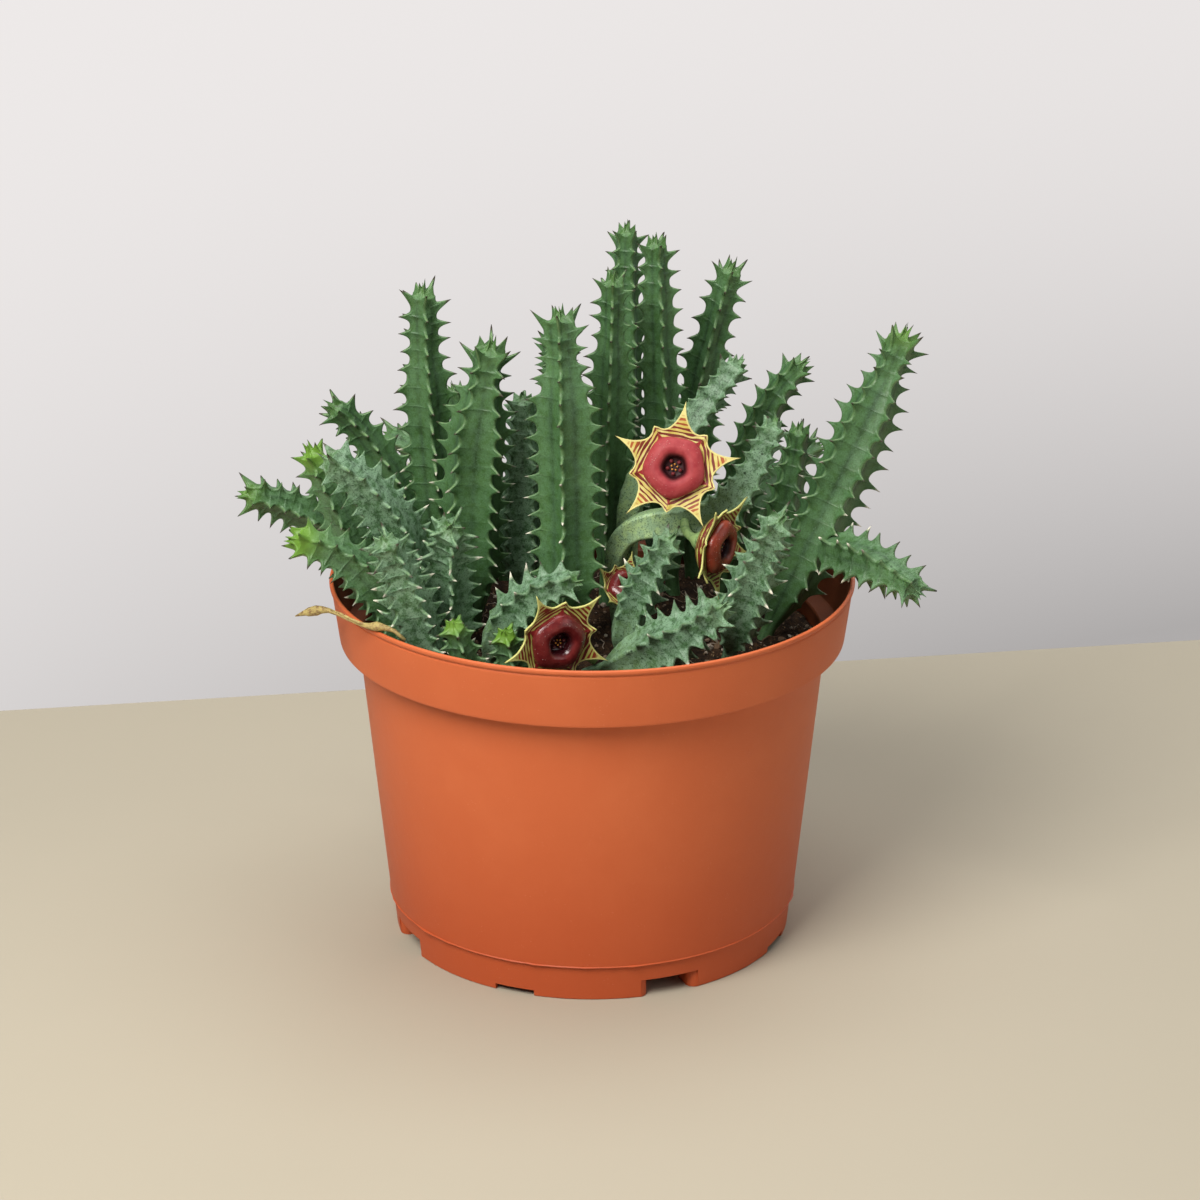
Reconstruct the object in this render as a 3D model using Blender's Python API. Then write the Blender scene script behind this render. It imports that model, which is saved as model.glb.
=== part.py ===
"""A lifesaver cactus, Huernia zebrina, in a round plastic nursery pot.

Lengths below are millimetres, and MM turns them into Blender's metres. The origin is the
centre of the pot's foot, on the surface that it stands on. +Z is up and -Y is the front.
"""

import math
from dataclasses import dataclass

import bmesh
import bpy
from mathutils import Matrix, Vector

MM = 0.001

# The pot
POT_HEIGHT = 108.2
RIM_RADIUS = 76.0
BAND_FOOT = 90.4
BAND_FOOT_RADIUS = 73.3
BAND_STEP = 0.5
LIP_HEIGHT = 1.2
LIP_PROUD = 0.5
BODY_TOP_RADIUS = 67.9
LEDGE_HEIGHT = 10.8
BODY_FOOT_RADIUS = 60.0
SKIRT_TOP_RADIUS = 59.3
SKIRT_FOOT_RADIUS = 58.2
WALL = 1.4
POT_SIDES = 48

# Its floor: the middle stands on the surface, and the ring round it is raised over the feet
FLOOR_THICK = 1.6
MIDDLE_RADIUS = 44.0
RING_UNDERSIDE = 5.6
RING_TOP = RING_UNDERSIDE + FLOOR_THICK

# Its feet: four curved lengths of skirt, turned in at their ends, with a shallow slot in each
FOOT_COUNT = 4
FIRST_GAP_ANGLE = -67.5
GAP_WIDTH = 12.5
FOOT_CORNER = 2.6
FOOT_RETURN = 9.0
SLOT_WIDTH = 12.0
SLOT_HEIGHT = 1.9
DRAIN_RADIUS = 3.5
DRAIN_RING = 52.0

# The soil
SOIL_LEVEL = 91.0
SOIL_MOUND = 3.0
SOIL_EDGE_DROP = 3.0
FIT_GAP = 0.35
SOIL_SIDES = 36
HOLE_SIDES = 8
ROOT_DEPTH = 7.0

# How a stem is made: shares of its girth, which is the radius over the teeth
BITE_DEPTH = 4.4
BITE_SHARE = 0.42
SHOULDER_REACH = 32.0
SHOULDER_DROP = 0.22
CROWN_TAPER = 0.16
VALLEY = 0.46
PLAIN = 0.66
ROOT_RADIUS = 3.4
TIP_HALF_PITCH = 2.7
BODY_HALF_PITCH = 5.3
PITCH_GROWS_OVER = 36.0
PLAIN_SHARE = 0.17
CROWN_DROP = 3.2
TOOTH_LEAN = 0.16
CROWN_LEAN = 0.42
WAIST_LENGTH = 5.0
WAIST_DEPTH = 0.18

# How a flower is made
LOBES = 5
LOBE_LENGTH = 19.0
SMALL_LOBE = 13.0
LOBE_VALLEY = 10.7
LOBE_SHOULDER = 13.4
SHOULDER_ANGLE = 7.5
RING_REACH = 9.6
COROLLA_THICK = 0.9
BELL_DEPTH = 5.0
BELL_RADIUS = 6.2
RING_SIDES = 16
STALK_RADIUS = 1.3
STALK_SIDES = 6
CUP_RADIUS = 3.6


@dataclass(frozen=True)
class Stem:
    """One stem: where its axis leaves the soil, passes halfway and ends, how stout it is, and how
    far it sways a quarter of the way up, and back again further on."""

    name: str
    root: tuple
    middle: tuple
    tip: tuple
    girth: float
    turn: float = 0.0
    waist: float = 0.0
    finish: str = "green"
    foot: float = 0.22
    ribs: int = 5
    sway: tuple = (0, 0, 0)


@dataclass(frozen=True)
class Flower:
    """One flower: its centre, the way it faces, the stem that carries it, and where, and the angle
    that its lobes are bent forward by."""

    name: str
    centre: tuple
    facing: tuple
    spin: float
    host: str
    leaves_at: tuple
    size: float = 1.0
    cupped: float = 10.0


STEMS = (
    Stem("stem_tall_left", (-42, 12), (-47, 10, 146), (-48, 6, 193), 10.5, 12, 0.8),
    Stem("stem_broad_left", (-34, -5), (-34, -8, 138), (-28, -12, 182), 13.0, 38, 0.88),
    Stem("stem_far_left", (-47, 34), (-61, 31, 130), (-77, 23, 152), 9.5, 20),
    Stem("stem_left_high", (-46, -8), (-57, -18, 131), (-76, -21, 151), 10.0, 30, 0, "frosted", 0.4, 4),
    Stem("stem_left_bright", (-57, 3), (-70, -1, 122), (-81, -5, 149), 8.5, 0, 0, "fresh"),
    Stem("stem_leftmost", (-55, 19), (-77, 13, 118), (-101, 1, 132), 9.5, 14, 0, "fresh", 0.8),
    Stem("stem_left_low", (-50, -23), (-64, -28, 118), (-85, -33, 131), 10.0, 40, 0, "fresh", 0.12),
    Stem("stem_front_left", (-45, -38), (-51, -42, 115), (-58, -47, 137), 9.0, 36, 0, "frosted"),
    Stem("offset_left", (-34, -47), (-36, -50, 103), (-39, -54, 115), 7.2, 10, 0, "fresh", 0.22, 4),
    Stem("stem_stub", (-39, -24), (-41, -29, 120), (-39, -38, 137), 9.5, 10, 0, "frosted"),
    Stem("stem_front_leaning", (-30, -31), (-19, -37, 113), (-3, -41, 121), 8.5, 20, 0, "frosted"),
    Stem("offset_front", (-22, -43), (-23, -46, 101), (-24.5, -51, 111), 6.8, 10, 0, "fresh", 0.22, 4),
    Stem("stem_centre", (-7, -21), (-7, -21, 140), (-9, -18, 193), 12.5, -8, 0.86),
    Stem("stem_behind_broad", (-21, 10), (-20, 10, 125), (-20, 10, 160), 8.5, 30, 0, "frosted"),
    Stem("stem_inner_tall", (4, 12), (5, 8, 145), (6, 1, 198), 9.0, -4, 0.82, "green", 0.34),
    Stem("stem_back_tall", (10, 34), (9.5, 34, 147), (10, 32, 204), 8.5, 30, 0.8),
    Stem("stem_mid_tall", (24, 22), (20, 19, 148), (18, 15, 205), 9.0, 14, 0.72),
    Stem("stem_back_right", (30, 42), (31, 39, 143), (41, 33, 192), 9.5, -10, 0.76),
    Stem(
        "stem_arm_high", (14, 1), (16.8, -0.5, 142), (43, 4, 172), 7.4, 30, 0, "frosted", 0.45, 4,
        (-2, 0, 4),
    ),
    Stem("stem_right_back", (38, 26), (47, 21, 141), (62, 18, 167), 9.0, 24),
    Stem(
        "stem_arm_low", (8, -7), (21.5, -12.5, 128.5), (52, -13, 160), 8.0, 24, 0, "frosted", 0.45, 4,
        (-5, 0, 9),
    ),
    Stem("stem_right_shade", (48, 12), (56, 13, 124), (60, 12, 150), 8.5, 20),
    Stem("stem_right_tall", (50, -6), (71, -4, 139), (89, 2, 181), 12.0, 22, 0.86),
    Stem("stem_right_front", (38, -31), (46, -39, 124), (53, -45, 142), 8.5, 30, 0, "frosted", 0.3),
    Stem("stem_front_middle", (8, -30), (13, -34, 114), (23, -38, 134), 8.0, 20, 0, "frosted"),
    Stem("stem_front_low", (0.5, -39.5), (20, -49.5, 106), (37, -53.5, 119), 10.5, 34, 0, "frosted", 0.34),
    Stem("stem_rear_left", (-26, 38), (-32, 43, 122), (-42, 50, 149), 9.5, 10, 0),
    Stem("stem_rear_middle", (-6, 52), (-9, 60, 128), (-12, 72, 160), 9.5, 30),
    Stem("stem_rear_right", (18, 55), (26, 64, 122), (38, 81, 146), 9.0, 0, 0, "frosted"),
    Stem("stem_rear_outer", (42, 41), (52, 46, 116), (69, 58, 128), 8.5, 16),
    Stem("stem_rear_upright", (-8, 24), (-8, 26, 136), (-10, 28, 177), 8.5, 0, 0.78),
    Stem("stem_rear_low", (-35, 46), (-46, 55, 119), (-63, 70, 127), 8.5, 34, 0, "fresh"),
)

# A side shoot that hangs from the tall stem on the right, out over the rim
SIDE_SHOOT_HOST = "stem_right_tall"
SIDE_SHOOT = Stem("side_shoot", (64, -8), (80, -25, 120), (92, -38, 116), 9.5, 20, 0.0, "frosted")
SIDE_SHOOT_START = 119.0

FLOWERS = (
    Flower("flower_high", (23, -27, 150), (-0.05, -0.93, 0.36), 9, "stem_arm_high", (21, -1, 149)),
    Flower("flower_side", (35, -28, 127), (0.87, -0.49, -0.09), 40, "stem_arm_low", (27, -12, 131), 0.9, 25),
    Flower("flower_deep", (10, -21, 111.5), (0.2, -0.6, 0.77), 18, "stem_front_middle", (9, -31, 97), 0.65, 50),
    Flower("flower_front", (-10, -55, 109), (0.48, -0.87, -0.04), 46, "stem_front_low", (1, -40, 97), 0.95, 20),
)

# The withered bud at the left: points along it, each with its radius
DRY_BUD = (
    (-52, -50, 107, 0.9),
    (-55, -49, 110.2, 0.9),
    (-60, -46, 110.8, 1.4),
    (-65, -43, 110.8, 0.8),
    (-71, -38, 110.8, 0.8),
    (-74, -35, 110.8, 1.0),
    (-78, -32, 109.2, 2.1),
    (-81, -30, 107.7, 1.6),
    (-84, -29, 106.2, 0.4),
)

COLOURS = {
    "pot": (0.60, 0.18, 0.07, 0.55),
    "soil": (0.035, 0.024, 0.016, 0.95),
    "green": (0.045, 0.13, 0.045, 0.5),
    "frosted": (0.10, 0.22, 0.13, 0.6),
    "fresh": (0.09, 0.24, 0.05, 0.5),
    "petal": (0.72, 0.55, 0.16, 0.5),
    "ring": (0.42, 0.04, 0.06, 0.3),
    "dry": (0.42, 0.30, 0.12, 0.8),
}


def clear_scene():
    """Removes what the scene holds."""
    for obj in list(bpy.data.objects):
        bpy.data.objects.remove(obj)


def material(name):
    """The Principled material of that name, made on first use."""
    found = bpy.data.materials.get(name)
    if found:
        return found
    red, green, blue, roughness = COLOURS[name]
    made = bpy.data.materials.new(name)
    made.use_nodes = True
    shader = made.node_tree.nodes["Principled BSDF"]
    shader.inputs["Base Color"].default_value = (red, green, blue, 1.0)
    shader.inputs["Roughness"].default_value = roughness
    shader.inputs["Metallic"].default_value = 0.0
    return made


def new_object(name, bm, finish):
    """An object in the scene from a bmesh in millimetres, with its normals made to point out."""
    bmesh.ops.remove_doubles(bm, verts=bm.verts, dist=1e-5)
    bmesh.ops.recalc_face_normals(bm, faces=bm.faces)
    bm.transform(Matrix.Scale(MM, 4))
    mesh = bpy.data.meshes.new(name)
    bm.to_mesh(mesh)
    bm.free()
    mesh.materials.append(material(finish))
    obj = bpy.data.objects.new(name, mesh)
    bpy.context.scene.collection.objects.link(obj)
    return obj


def bool_with(obj, tools, operation):
    """Applies one Boolean of obj with all the tools, and removes them."""
    group = bpy.data.collections.new(obj.name + "_tools")
    bpy.context.scene.collection.children.link(group)
    for tool in tools:
        bpy.context.scene.collection.objects.unlink(tool)
        group.objects.link(tool)
    modifier = obj.modifiers.new(operation.lower(), "BOOLEAN")
    modifier.operation = operation
    modifier.operand_type = "COLLECTION"
    modifier.collection = group
    bpy.context.view_layer.update()
    graph = bpy.context.evaluated_depsgraph_get()
    joined = bpy.data.meshes.new_from_object(obj.evaluated_get(graph))
    obj.modifiers.clear()
    obj.data = joined
    for tool in tools:
        bpy.data.objects.remove(tool)
    bpy.data.collections.remove(group)


def polar(radius, degrees, height=0.0):
    """A point at that radius and angle about Z. Angle 0 is the front, -Y, and 90 is +X."""
    angle = math.radians(degrees)
    return Vector((radius * math.sin(angle), -radius * math.cos(angle), height))


def skin(bm, rings):
    """Faces between rings of equal length, with both ends closed. A ring may be one point."""
    rows = [[bm.verts.new(point) for point in ring] for ring in rings]
    for low, high in zip(rows, rows[1:]):
        for i in range(max(len(low), len(high))):
            j = i + 1
            corners = [low[i % len(low)], low[j % len(low)], high[j % len(high)], high[i % len(high)]]
            bm.faces.new(list(dict.fromkeys(corners)))
    for end in (rows[0], rows[-1]):
        if len(end) > 2:
            bm.faces.new(end)


def turned(profile, sides):
    """A closed solid of revolution from (radius, height) points. A radius of 0 is a pole."""
    bm = bmesh.new()
    rings = [
        [polar(radius, 360 * i / sides, height) for i in range(sides if radius else 1)]
        for radius, height in profile
    ]
    skin(bm, rings)
    return bm


def prism(outline, bottom, top):
    """A closed solid from a flat outline of points, between two heights."""
    bm = bmesh.new()
    skin(bm, [[Vector((p.x, p.y, height)) for p in outline] for height in (bottom, top)])
    return bm


# The pot


def inner_wall(height):
    """The radius of the body's inner wall at a height between the floor and the band."""
    share = (height - LEDGE_HEIGHT) / (BAND_FOOT - LEDGE_HEIGHT)
    return BODY_FOOT_RADIUS - WALL + share * (BODY_TOP_RADIUS - BODY_FOOT_RADIUS)


def pot_shell():
    """The turned shell of the pot, with its band and its lip, above the feet."""
    thin = WALL * 0.9
    return turned(
        (
            (0, 0),
            (MIDDLE_RADIUS, 0),
            (MIDDLE_RADIUS + 1, RING_UNDERSIDE),
            (SKIRT_TOP_RADIUS - 0.5, RING_UNDERSIDE),
            (SKIRT_TOP_RADIUS, LEDGE_HEIGHT),
            (BODY_FOOT_RADIUS, LEDGE_HEIGHT),
            (BODY_TOP_RADIUS, BAND_FOOT + BAND_STEP),
            (BAND_FOOT_RADIUS - BAND_STEP, BAND_FOOT),
            (BAND_FOOT_RADIUS, BAND_FOOT + BAND_STEP),
            (RIM_RADIUS - LIP_PROUD, POT_HEIGHT - LIP_HEIGHT),
            (RIM_RADIUS, POT_HEIGHT - LIP_HEIGHT / 2),
            (RIM_RADIUS - LIP_PROUD, POT_HEIGHT),
            (RIM_RADIUS - LIP_PROUD - thin, POT_HEIGHT - 0.3),
            (BAND_FOOT_RADIUS - thin, BAND_FOOT + WALL + BAND_STEP),
            (inner_wall(BAND_FOOT), BAND_FOOT + WALL),
            (inner_wall(RING_TOP), RING_TOP),
            (MIDDLE_RADIUS, RING_TOP),
            (MIDDLE_RADIUS - 1.5, FLOOR_THICK),
            (0, FLOOR_THICK),
        ),
        POT_SIDES,
    )


def foot_outline(start, end):
    """The plan of one foot between two angles: an arc of the skirt with both ends turned in."""
    corner = math.degrees(FOOT_CORNER / SKIRT_FOOT_RADIUS)
    steps = 7
    arc = [start + corner + (end - start - 2 * corner) * i / steps for i in range(steps + 1)]
    outer = [polar(SKIRT_FOOT_RADIUS, angle) for angle in arc]
    inner = [polar(SKIRT_FOOT_RADIUS - WALL, angle) for angle in arc[1:-1]]
    deep = SKIRT_FOOT_RADIUS - FOOT_RETURN
    wall = math.degrees(WALL / deep)

    def turned_in(angle, inwards):
        """The corner and the radial wall at one end, whose solid side lies inwards."""
        side = wall * inwards
        return [
            polar(SKIRT_FOOT_RADIUS - FOOT_CORNER, angle),
            polar(deep, angle + side * 0.3),
            polar(deep, angle + side * 1.3),
            polar(SKIRT_FOOT_RADIUS - FOOT_CORNER, angle + side * 1.1),
        ]

    return outer + turned_in(end, -1) + inner[::-1] + turned_in(start, 1)[::-1]


def make_pot():
    """The pot, its four feet, the slots in them and the drain holes, as one body."""
    pot = new_object("pot", pot_shell(), "pot")
    sector = 360 / FOOT_COUNT
    half_gap = math.degrees(GAP_WIDTH / 2 / SKIRT_FOOT_RADIUS)
    feet, cutters = [], []
    for i in range(FOOT_COUNT):
        gap = FIRST_GAP_ANGLE + sector * i
        outline = foot_outline(gap + half_gap, gap + sector - half_gap)
        feet.append(new_object(f"foot_{i}", prism(outline, 0, RING_UNDERSIDE + 0.5), "pot"))
        middle = gap + sector / 2
        out, across = polar(1, middle), polar(1, middle + 90)
        slot = [
            out * (SKIRT_FOOT_RADIUS + step) + across * side * SLOT_WIDTH / 2
            for step, side in ((-4, -1), (4, -1), (4, 1), (-4, 1))
        ]
        cutters.append(new_object(f"slot_{i}", prism(slot, -1, SLOT_HEIGHT), "pot"))
        drain = [polar(DRAIN_RING, gap) + polar(DRAIN_RADIUS, 45 * k) for k in range(8)]
        cutters.append(new_object(f"drain_{i}", prism(drain, 1, RING_TOP + 1), "pot"))
    bool_with(pot, feet, "UNION")
    bool_with(pot, cutters, "DIFFERENCE")
    pot.data.shade_smooth()
    pot.data.set_sharp_from_angle(angle=math.radians(30))


# The stems


def smooth_step(low, high, value):
    """0 below low, 1 above high, and a smooth rise between."""
    share = min(1.0, max(0.0, (value - low) / (high - low)))
    return share * share * (3 - 2 * share)


def soil_height(x, y):
    """The height of the soil's surface, mounded in the middle and lower at the wall."""
    share = min(1.0, math.hypot(x, y) / inner_wall(SOIL_LEVEL))
    ripple = 0.8 * math.sin(x * 0.21 + 1.0) * math.cos(y * 0.17)
    return SOIL_LEVEL + SOIL_MOUND * (1 - share**2) - SOIL_EDGE_DROP * share**4 + ripple


class Spine:
    """A stem's axis: a smooth arc through its root, middle and tip, and straight down below."""

    steps = 60

    def __init__(self, stem, start=None):
        root = Vector((*stem.root, soil_height(*stem.root) if start is None else start))
        middle, tip = Vector(stem.middle), Vector(stem.tip)
        knee, sway = 2 * middle - (root + tip) / 2, Vector(stem.sway)
        shares = [i / self.steps for i in range(self.steps + 1)]
        self.points = [
            root * (1 - t) ** 2 + knee * 2 * t * (1 - t) + tip * t * t
            + sway * math.sin(2 * math.pi * t)
            for t in shares
        ]
        self.rises = (knee - root + sway * math.pi).normalized()
        self.ends = (tip - knee + sway * math.pi).normalized()
        self.reach = [0.0]
        for a, b in zip(self.points, self.points[1:]):
            self.reach.append(self.reach[-1] + (b - a).length)
        self.length = self.reach[-1]

    def at(self, along):
        """The axis's point and direction at a length along it. A negative one is below the soil."""
        if along <= 0:
            return self.points[0] + self.rises * along, self.rises
        if along >= self.length:
            return self.points[-1] + self.ends * (along - self.length), self.ends
        i = max(k for k in range(self.steps) if self.reach[k] <= along)
        step = self.points[i + 1] - self.points[i]
        share = (along - self.reach[i]) / step.length
        before = self.points[i] - self.points[i - 1] if i else self.rises * step.length
        return self.points[i] + step * share, before.lerp(step, share).normalized()

    def frame(self, along):
        """The point, the direction, and the two axes across it, the first towards the front."""
        point, direction = self.at(along)
        turn = self.rises.rotation_difference(direction)
        front = Vector((0, -1, 0))
        front = turn @ (front - self.rises * front.dot(self.rises)).normalized()
        return point, direction, front, direction.cross(front)


def girth_at(stem, along, length):
    """The radius over the teeth there: a narrow foot, a full body, sloping shoulders and a waist."""
    foot = smooth_step(-0.06, stem.foot, max(0.0, along) / length)
    below, reach = length - along, min(SHOULDER_REACH, 0.5 * length)
    shoulder = 1 - SHOULDER_DROP * (1 - smooth_step(0.25 * reach, reach, below))
    crown = 1 - CROWN_TAPER * (1 - smooth_step(0, 0.16 * reach, below))
    pinch = 0.0
    if stem.waist:
        pinch = WAIST_DEPTH * math.exp(-(((along - stem.waist * length) / WAIST_LENGTH) ** 2))
    return max(ROOT_RADIUS, stem.girth * foot * shoulder * crown * (1 - pinch))


def stations(length):
    """The lengths along a stem where its rings lie: the root, then half a tooth apart to the tip."""
    found, along = [], length - CROWN_DROP
    while along > PLAIN_SHARE * length + TIP_HALF_PITCH:
        found.append(along)
        grown = min(1.0, (length - along) / PITCH_GROWS_OVER)
        along -= TIP_HALF_PITCH + (BODY_HALF_PITCH - TIP_HALF_PITCH) * grown
    return [-ROOT_DEPTH, 1.5, PLAIN_SHARE * length * 0.6] + found[::-1]


def stem_rings(stem, spine):
    """The rings of a ribbed stem. Each has a crest and a valley for every rib, and teeth on
    neighbouring ribs take turns."""
    places = stations(spine.length)
    rings = []
    for order, along in enumerate(places):
        point, direction, front, side = spine.frame(along)
        girth = girth_at(stem, along, spine.length)
        share = along / spine.length
        ribbed = smooth_step(0.02, PLAIN_SHARE, share)
        toothed = smooth_step(PLAIN_SHARE * 0.6, PLAIN_SHARE * 1.4, share)
        crown = smooth_step(0.86, 1.0, share)
        from_tip = len(places) - 1 - order
        notch = 1 - min(BITE_SHARE, BITE_DEPTH / girth)
        ring = []
        for k in range(2 * stem.ribs):
            angle = math.radians(stem.turn + 180 * k / stem.ribs)
            out = front * math.cos(angle) + side * math.sin(angle)
            forward = 0.0
            if k % 2:
                radius = girth * (PLAIN + (VALLEY - PLAIN) * ribbed)
            elif (k // 2 + from_tip) % 2 == 0 or from_tip == 0:
                radius = girth * (PLAIN + (1 - PLAIN) * toothed)
                forward = girth * (TOOTH_LEAN + (CROWN_LEAN - TOOTH_LEAN) * crown) * toothed
            else:
                radius = girth * (PLAIN + (notch - PLAIN) * toothed)
            if order < 2:
                radius = ROOT_RADIUS
            ring.append(point + out * radius + direction * forward)
        rings.append(ring)
    rings.append([spine.at(spine.length - CROWN_DROP * 0.7)[0]])
    return rings


def stem_object(stem, start=None):
    """One stem with its ribs and teeth, as one closed body."""
    bm = bmesh.new()
    skin(bm, stem_rings(stem, Spine(stem, start)))
    return new_object(stem.name, bm, stem.finish)


def root_hole(stem):
    """What a stem's root takes from the soil: a plain hole along its axis."""
    spine = Spine(stem)
    radius = (ROOT_RADIUS + FIT_GAP) / math.cos(math.pi / HOLE_SIDES)
    rings = []
    for along in (-ROOT_DEPTH - FIT_GAP, 5.0):
        point, _, front, side = spine.frame(along)
        turns = [2 * math.pi * i / HOLE_SIDES for i in range(HOLE_SIDES)]
        rings.append([point + (front * math.cos(a) + side * math.sin(a)) * radius for a in turns])
    bm = bmesh.new()
    skin(bm, rings)
    return new_object(stem.name + "_hole", bm, "soil")


def make_soil():
    """The soil: it fills the pot up to its uneven surface, with a hole for each root."""
    wall_gap = FIT_GAP + 0.4
    sides = range(SOIL_SIDES)
    profile = (
        (MIDDLE_RADIUS - 2.5, FLOOR_THICK + FIT_GAP),
        (MIDDLE_RADIUS - 1.5, RING_TOP + FIT_GAP),
        (inner_wall(RING_TOP) - wall_gap, RING_TOP + FIT_GAP),
        (inner_wall(SOIL_LEVEL - 12) - wall_gap, SOIL_LEVEL - 12),
    )
    rings = [[Vector((0, 0, FLOOR_THICK + FIT_GAP))]]
    rings += [[polar(radius, 360 * i / SOIL_SIDES, height) for i in sides] for radius, height in profile]
    for share in (1.0, 0.66, 0.33):
        radius = (inner_wall(SOIL_LEVEL - 6) - wall_gap) * share
        ring = [polar(radius, 360 * i / SOIL_SIDES) for i in sides]
        rings.append([Vector((p.x, p.y, soil_height(p.x, p.y))) for p in ring])
    rings.append([Vector((0, 0, soil_height(0, 0)))])
    bm = bmesh.new()
    skin(bm, rings)
    soil = new_object("soil", bm, "soil")
    bool_with(soil, [root_hole(stem) for stem in STEMS], "DIFFERENCE")


# The flowers


def flower_matrix(flower):
    """The place of a flower's own frame, whose +Z is the way that it faces and +Y its top."""
    z = Vector(flower.facing).normalized()
    x = Vector((0, 0, 1)).cross(z).normalized()
    turn = Matrix((x, z.cross(x), z)).transposed().to_4x4()
    spin = Matrix.Rotation(math.radians(-flower.spin), 4, "Z")
    return Matrix.Translation(flower.centre) @ turn @ spin @ Matrix.Scale(flower.size, 4)


def corolla_outline():
    """The star's edge as (angle, radius): long lobes and short ones by turns."""
    sector = 360 / LOBES
    found = []
    for i in range(LOBES):
        lobe = 90 + sector * i
        found += [
            (lobe, LOBE_LENGTH),
            (lobe + SHOULDER_ANGLE, LOBE_SHOULDER),
            (lobe + sector * 0.3, LOBE_VALLEY),
            (lobe + sector * 0.5, SMALL_LOBE),
            (lobe + sector * 0.7, LOBE_VALLEY),
            (lobe + sector - SHOULDER_ANGLE, LOBE_SHOULDER),
        ]
    return found


def corolla_object(flower):
    """The striped star, with the shallow bell behind it, as one closed body."""
    edge = corolla_outline()

    bend = math.radians(flower.cupped)

    def ring(radius, height):
        """Points at one radius, or on the star's edge if the radius is None."""
        made = []
        for degrees, reach in edge:
            angle = math.radians(degrees)
            past = 0.0 if radius else reach - RING_REACH
            out = radius or RING_REACH + past * math.cos(bend)
            lift = height + past * math.sin(bend)
            made.append(Vector((out * math.cos(angle), out * math.sin(angle), lift)))
        return made

    bm = bmesh.new()
    rings = (
        [Vector((0, 0, -BELL_DEPTH))],
        ring(BELL_RADIUS, -BELL_DEPTH * 0.75),
        ring(RING_REACH, -COROLLA_THICK),
        ring(None, -COROLLA_THICK * 0.6),
        ring(None, 0.0),
        ring(8.6, 0.0),
        [Vector((0, 0, 0))],
    )
    skin(bm, rings)
    bm.transform(flower_matrix(flower))
    return new_object(flower.name + "_corolla", bm, "petal")


def ring_object(flower):
    """The glossy raised ring, with the pit and the small crown in its middle."""
    bm = turned(
        (
            (0, 0.4),
            (8.8, 0.4),
            (9.4, 1.6),
            (8.3, 3.4),
            (6.2, 4.1),
            (4.2, 3.3),
            (3.0, 1.7),
            (1.6, 1.5),
            (1.1, 2.4),
            (0, 2.5),
        ),
        RING_SIDES,
    )
    bm.transform(flower_matrix(flower))
    return new_object(flower.name + "_ring", bm, "ring")


def stalk_object(flower):
    """The flower's stalk, from inside its stem to the cup that the bell sits in."""
    place = flower_matrix(flower)
    facing = Vector(flower.facing).normalized()
    cup = place @ Vector((0, 0, -BELL_DEPTH - FIT_GAP / flower.size))
    start = Vector(flower.leaves_at)
    bend = cup - facing * (cup - start).length * 0.55
    rings = []
    for share, radius in ((0, 1.0), (0.45, 1.0), (0.8, 1.0), (0.9, 1.6), (1.0, CUP_RADIUS / STALK_RADIUS)):
        point = start * (1 - share) ** 2 + bend * 2 * share * (1 - share) + cup * share * share
        along = ((bend - start) * (1 - share) + (cup - bend) * share).normalized()
        across = along.orthogonal().normalized()
        other = along.cross(across)
        turns = [2 * math.pi * i / STALK_SIDES for i in range(STALK_SIDES)]
        reach = STALK_RADIUS * radius
        rings.append([point + (across * math.cos(a) + other * math.sin(a)) * reach for a in turns])
    bm = bmesh.new()
    skin(bm, rings)
    return new_object(flower.name + "_stalk", bm, "green")


def make_dry_bud():
    """The withered flower bud, whose stalk lies over the rim at the left."""
    bm = bmesh.new()
    rings = []
    for i, (*centre, radius) in enumerate(DRY_BUD):
        after = DRY_BUD[min(i + 1, len(DRY_BUD) - 1)]
        before = DRY_BUD[max(i - 1, 0)]
        along = (Vector(after[:3]) - Vector(before[:3])).normalized()
        side = along.cross(Vector((0, 0, 1))).normalized()
        other = along.cross(side)
        turns = [2 * math.pi * k / STALK_SIDES for k in range(STALK_SIDES)]
        rings.append([Vector(centre) + (side * math.cos(a) + other * math.sin(a)) * radius for a in turns])
    skin(bm, rings)
    new_object("dry_bud", bm, "dry")


def make_plant():
    """Every stem, with the flower stalks and the side shoot grown into their stems, and flowers."""
    stems = {stem.name: stem_object(stem) for stem in STEMS}
    grown = {name: [] for name in stems}
    grown[SIDE_SHOOT_HOST].append(stem_object(SIDE_SHOOT, SIDE_SHOOT_START))
    for flower in FLOWERS:
        corolla_object(flower)
        ring_object(flower)
        grown[flower.host].append(stalk_object(flower))
    make_dry_bud()
    for name, pieces in grown.items():
        if pieces:
            bool_with(stems[name], pieces, "UNION")


def main():
    """Builds the potted plant."""
    clear_scene()
    make_pot()
    make_soil()
    make_plant()


main()
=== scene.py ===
"""A potted lifesaver cactus, Huernia zebrina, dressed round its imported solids.

Lengths in the classes are millimetres, and MM turns them into Blender's metres. +Z is up and
-Y is the front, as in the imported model.
"""

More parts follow.
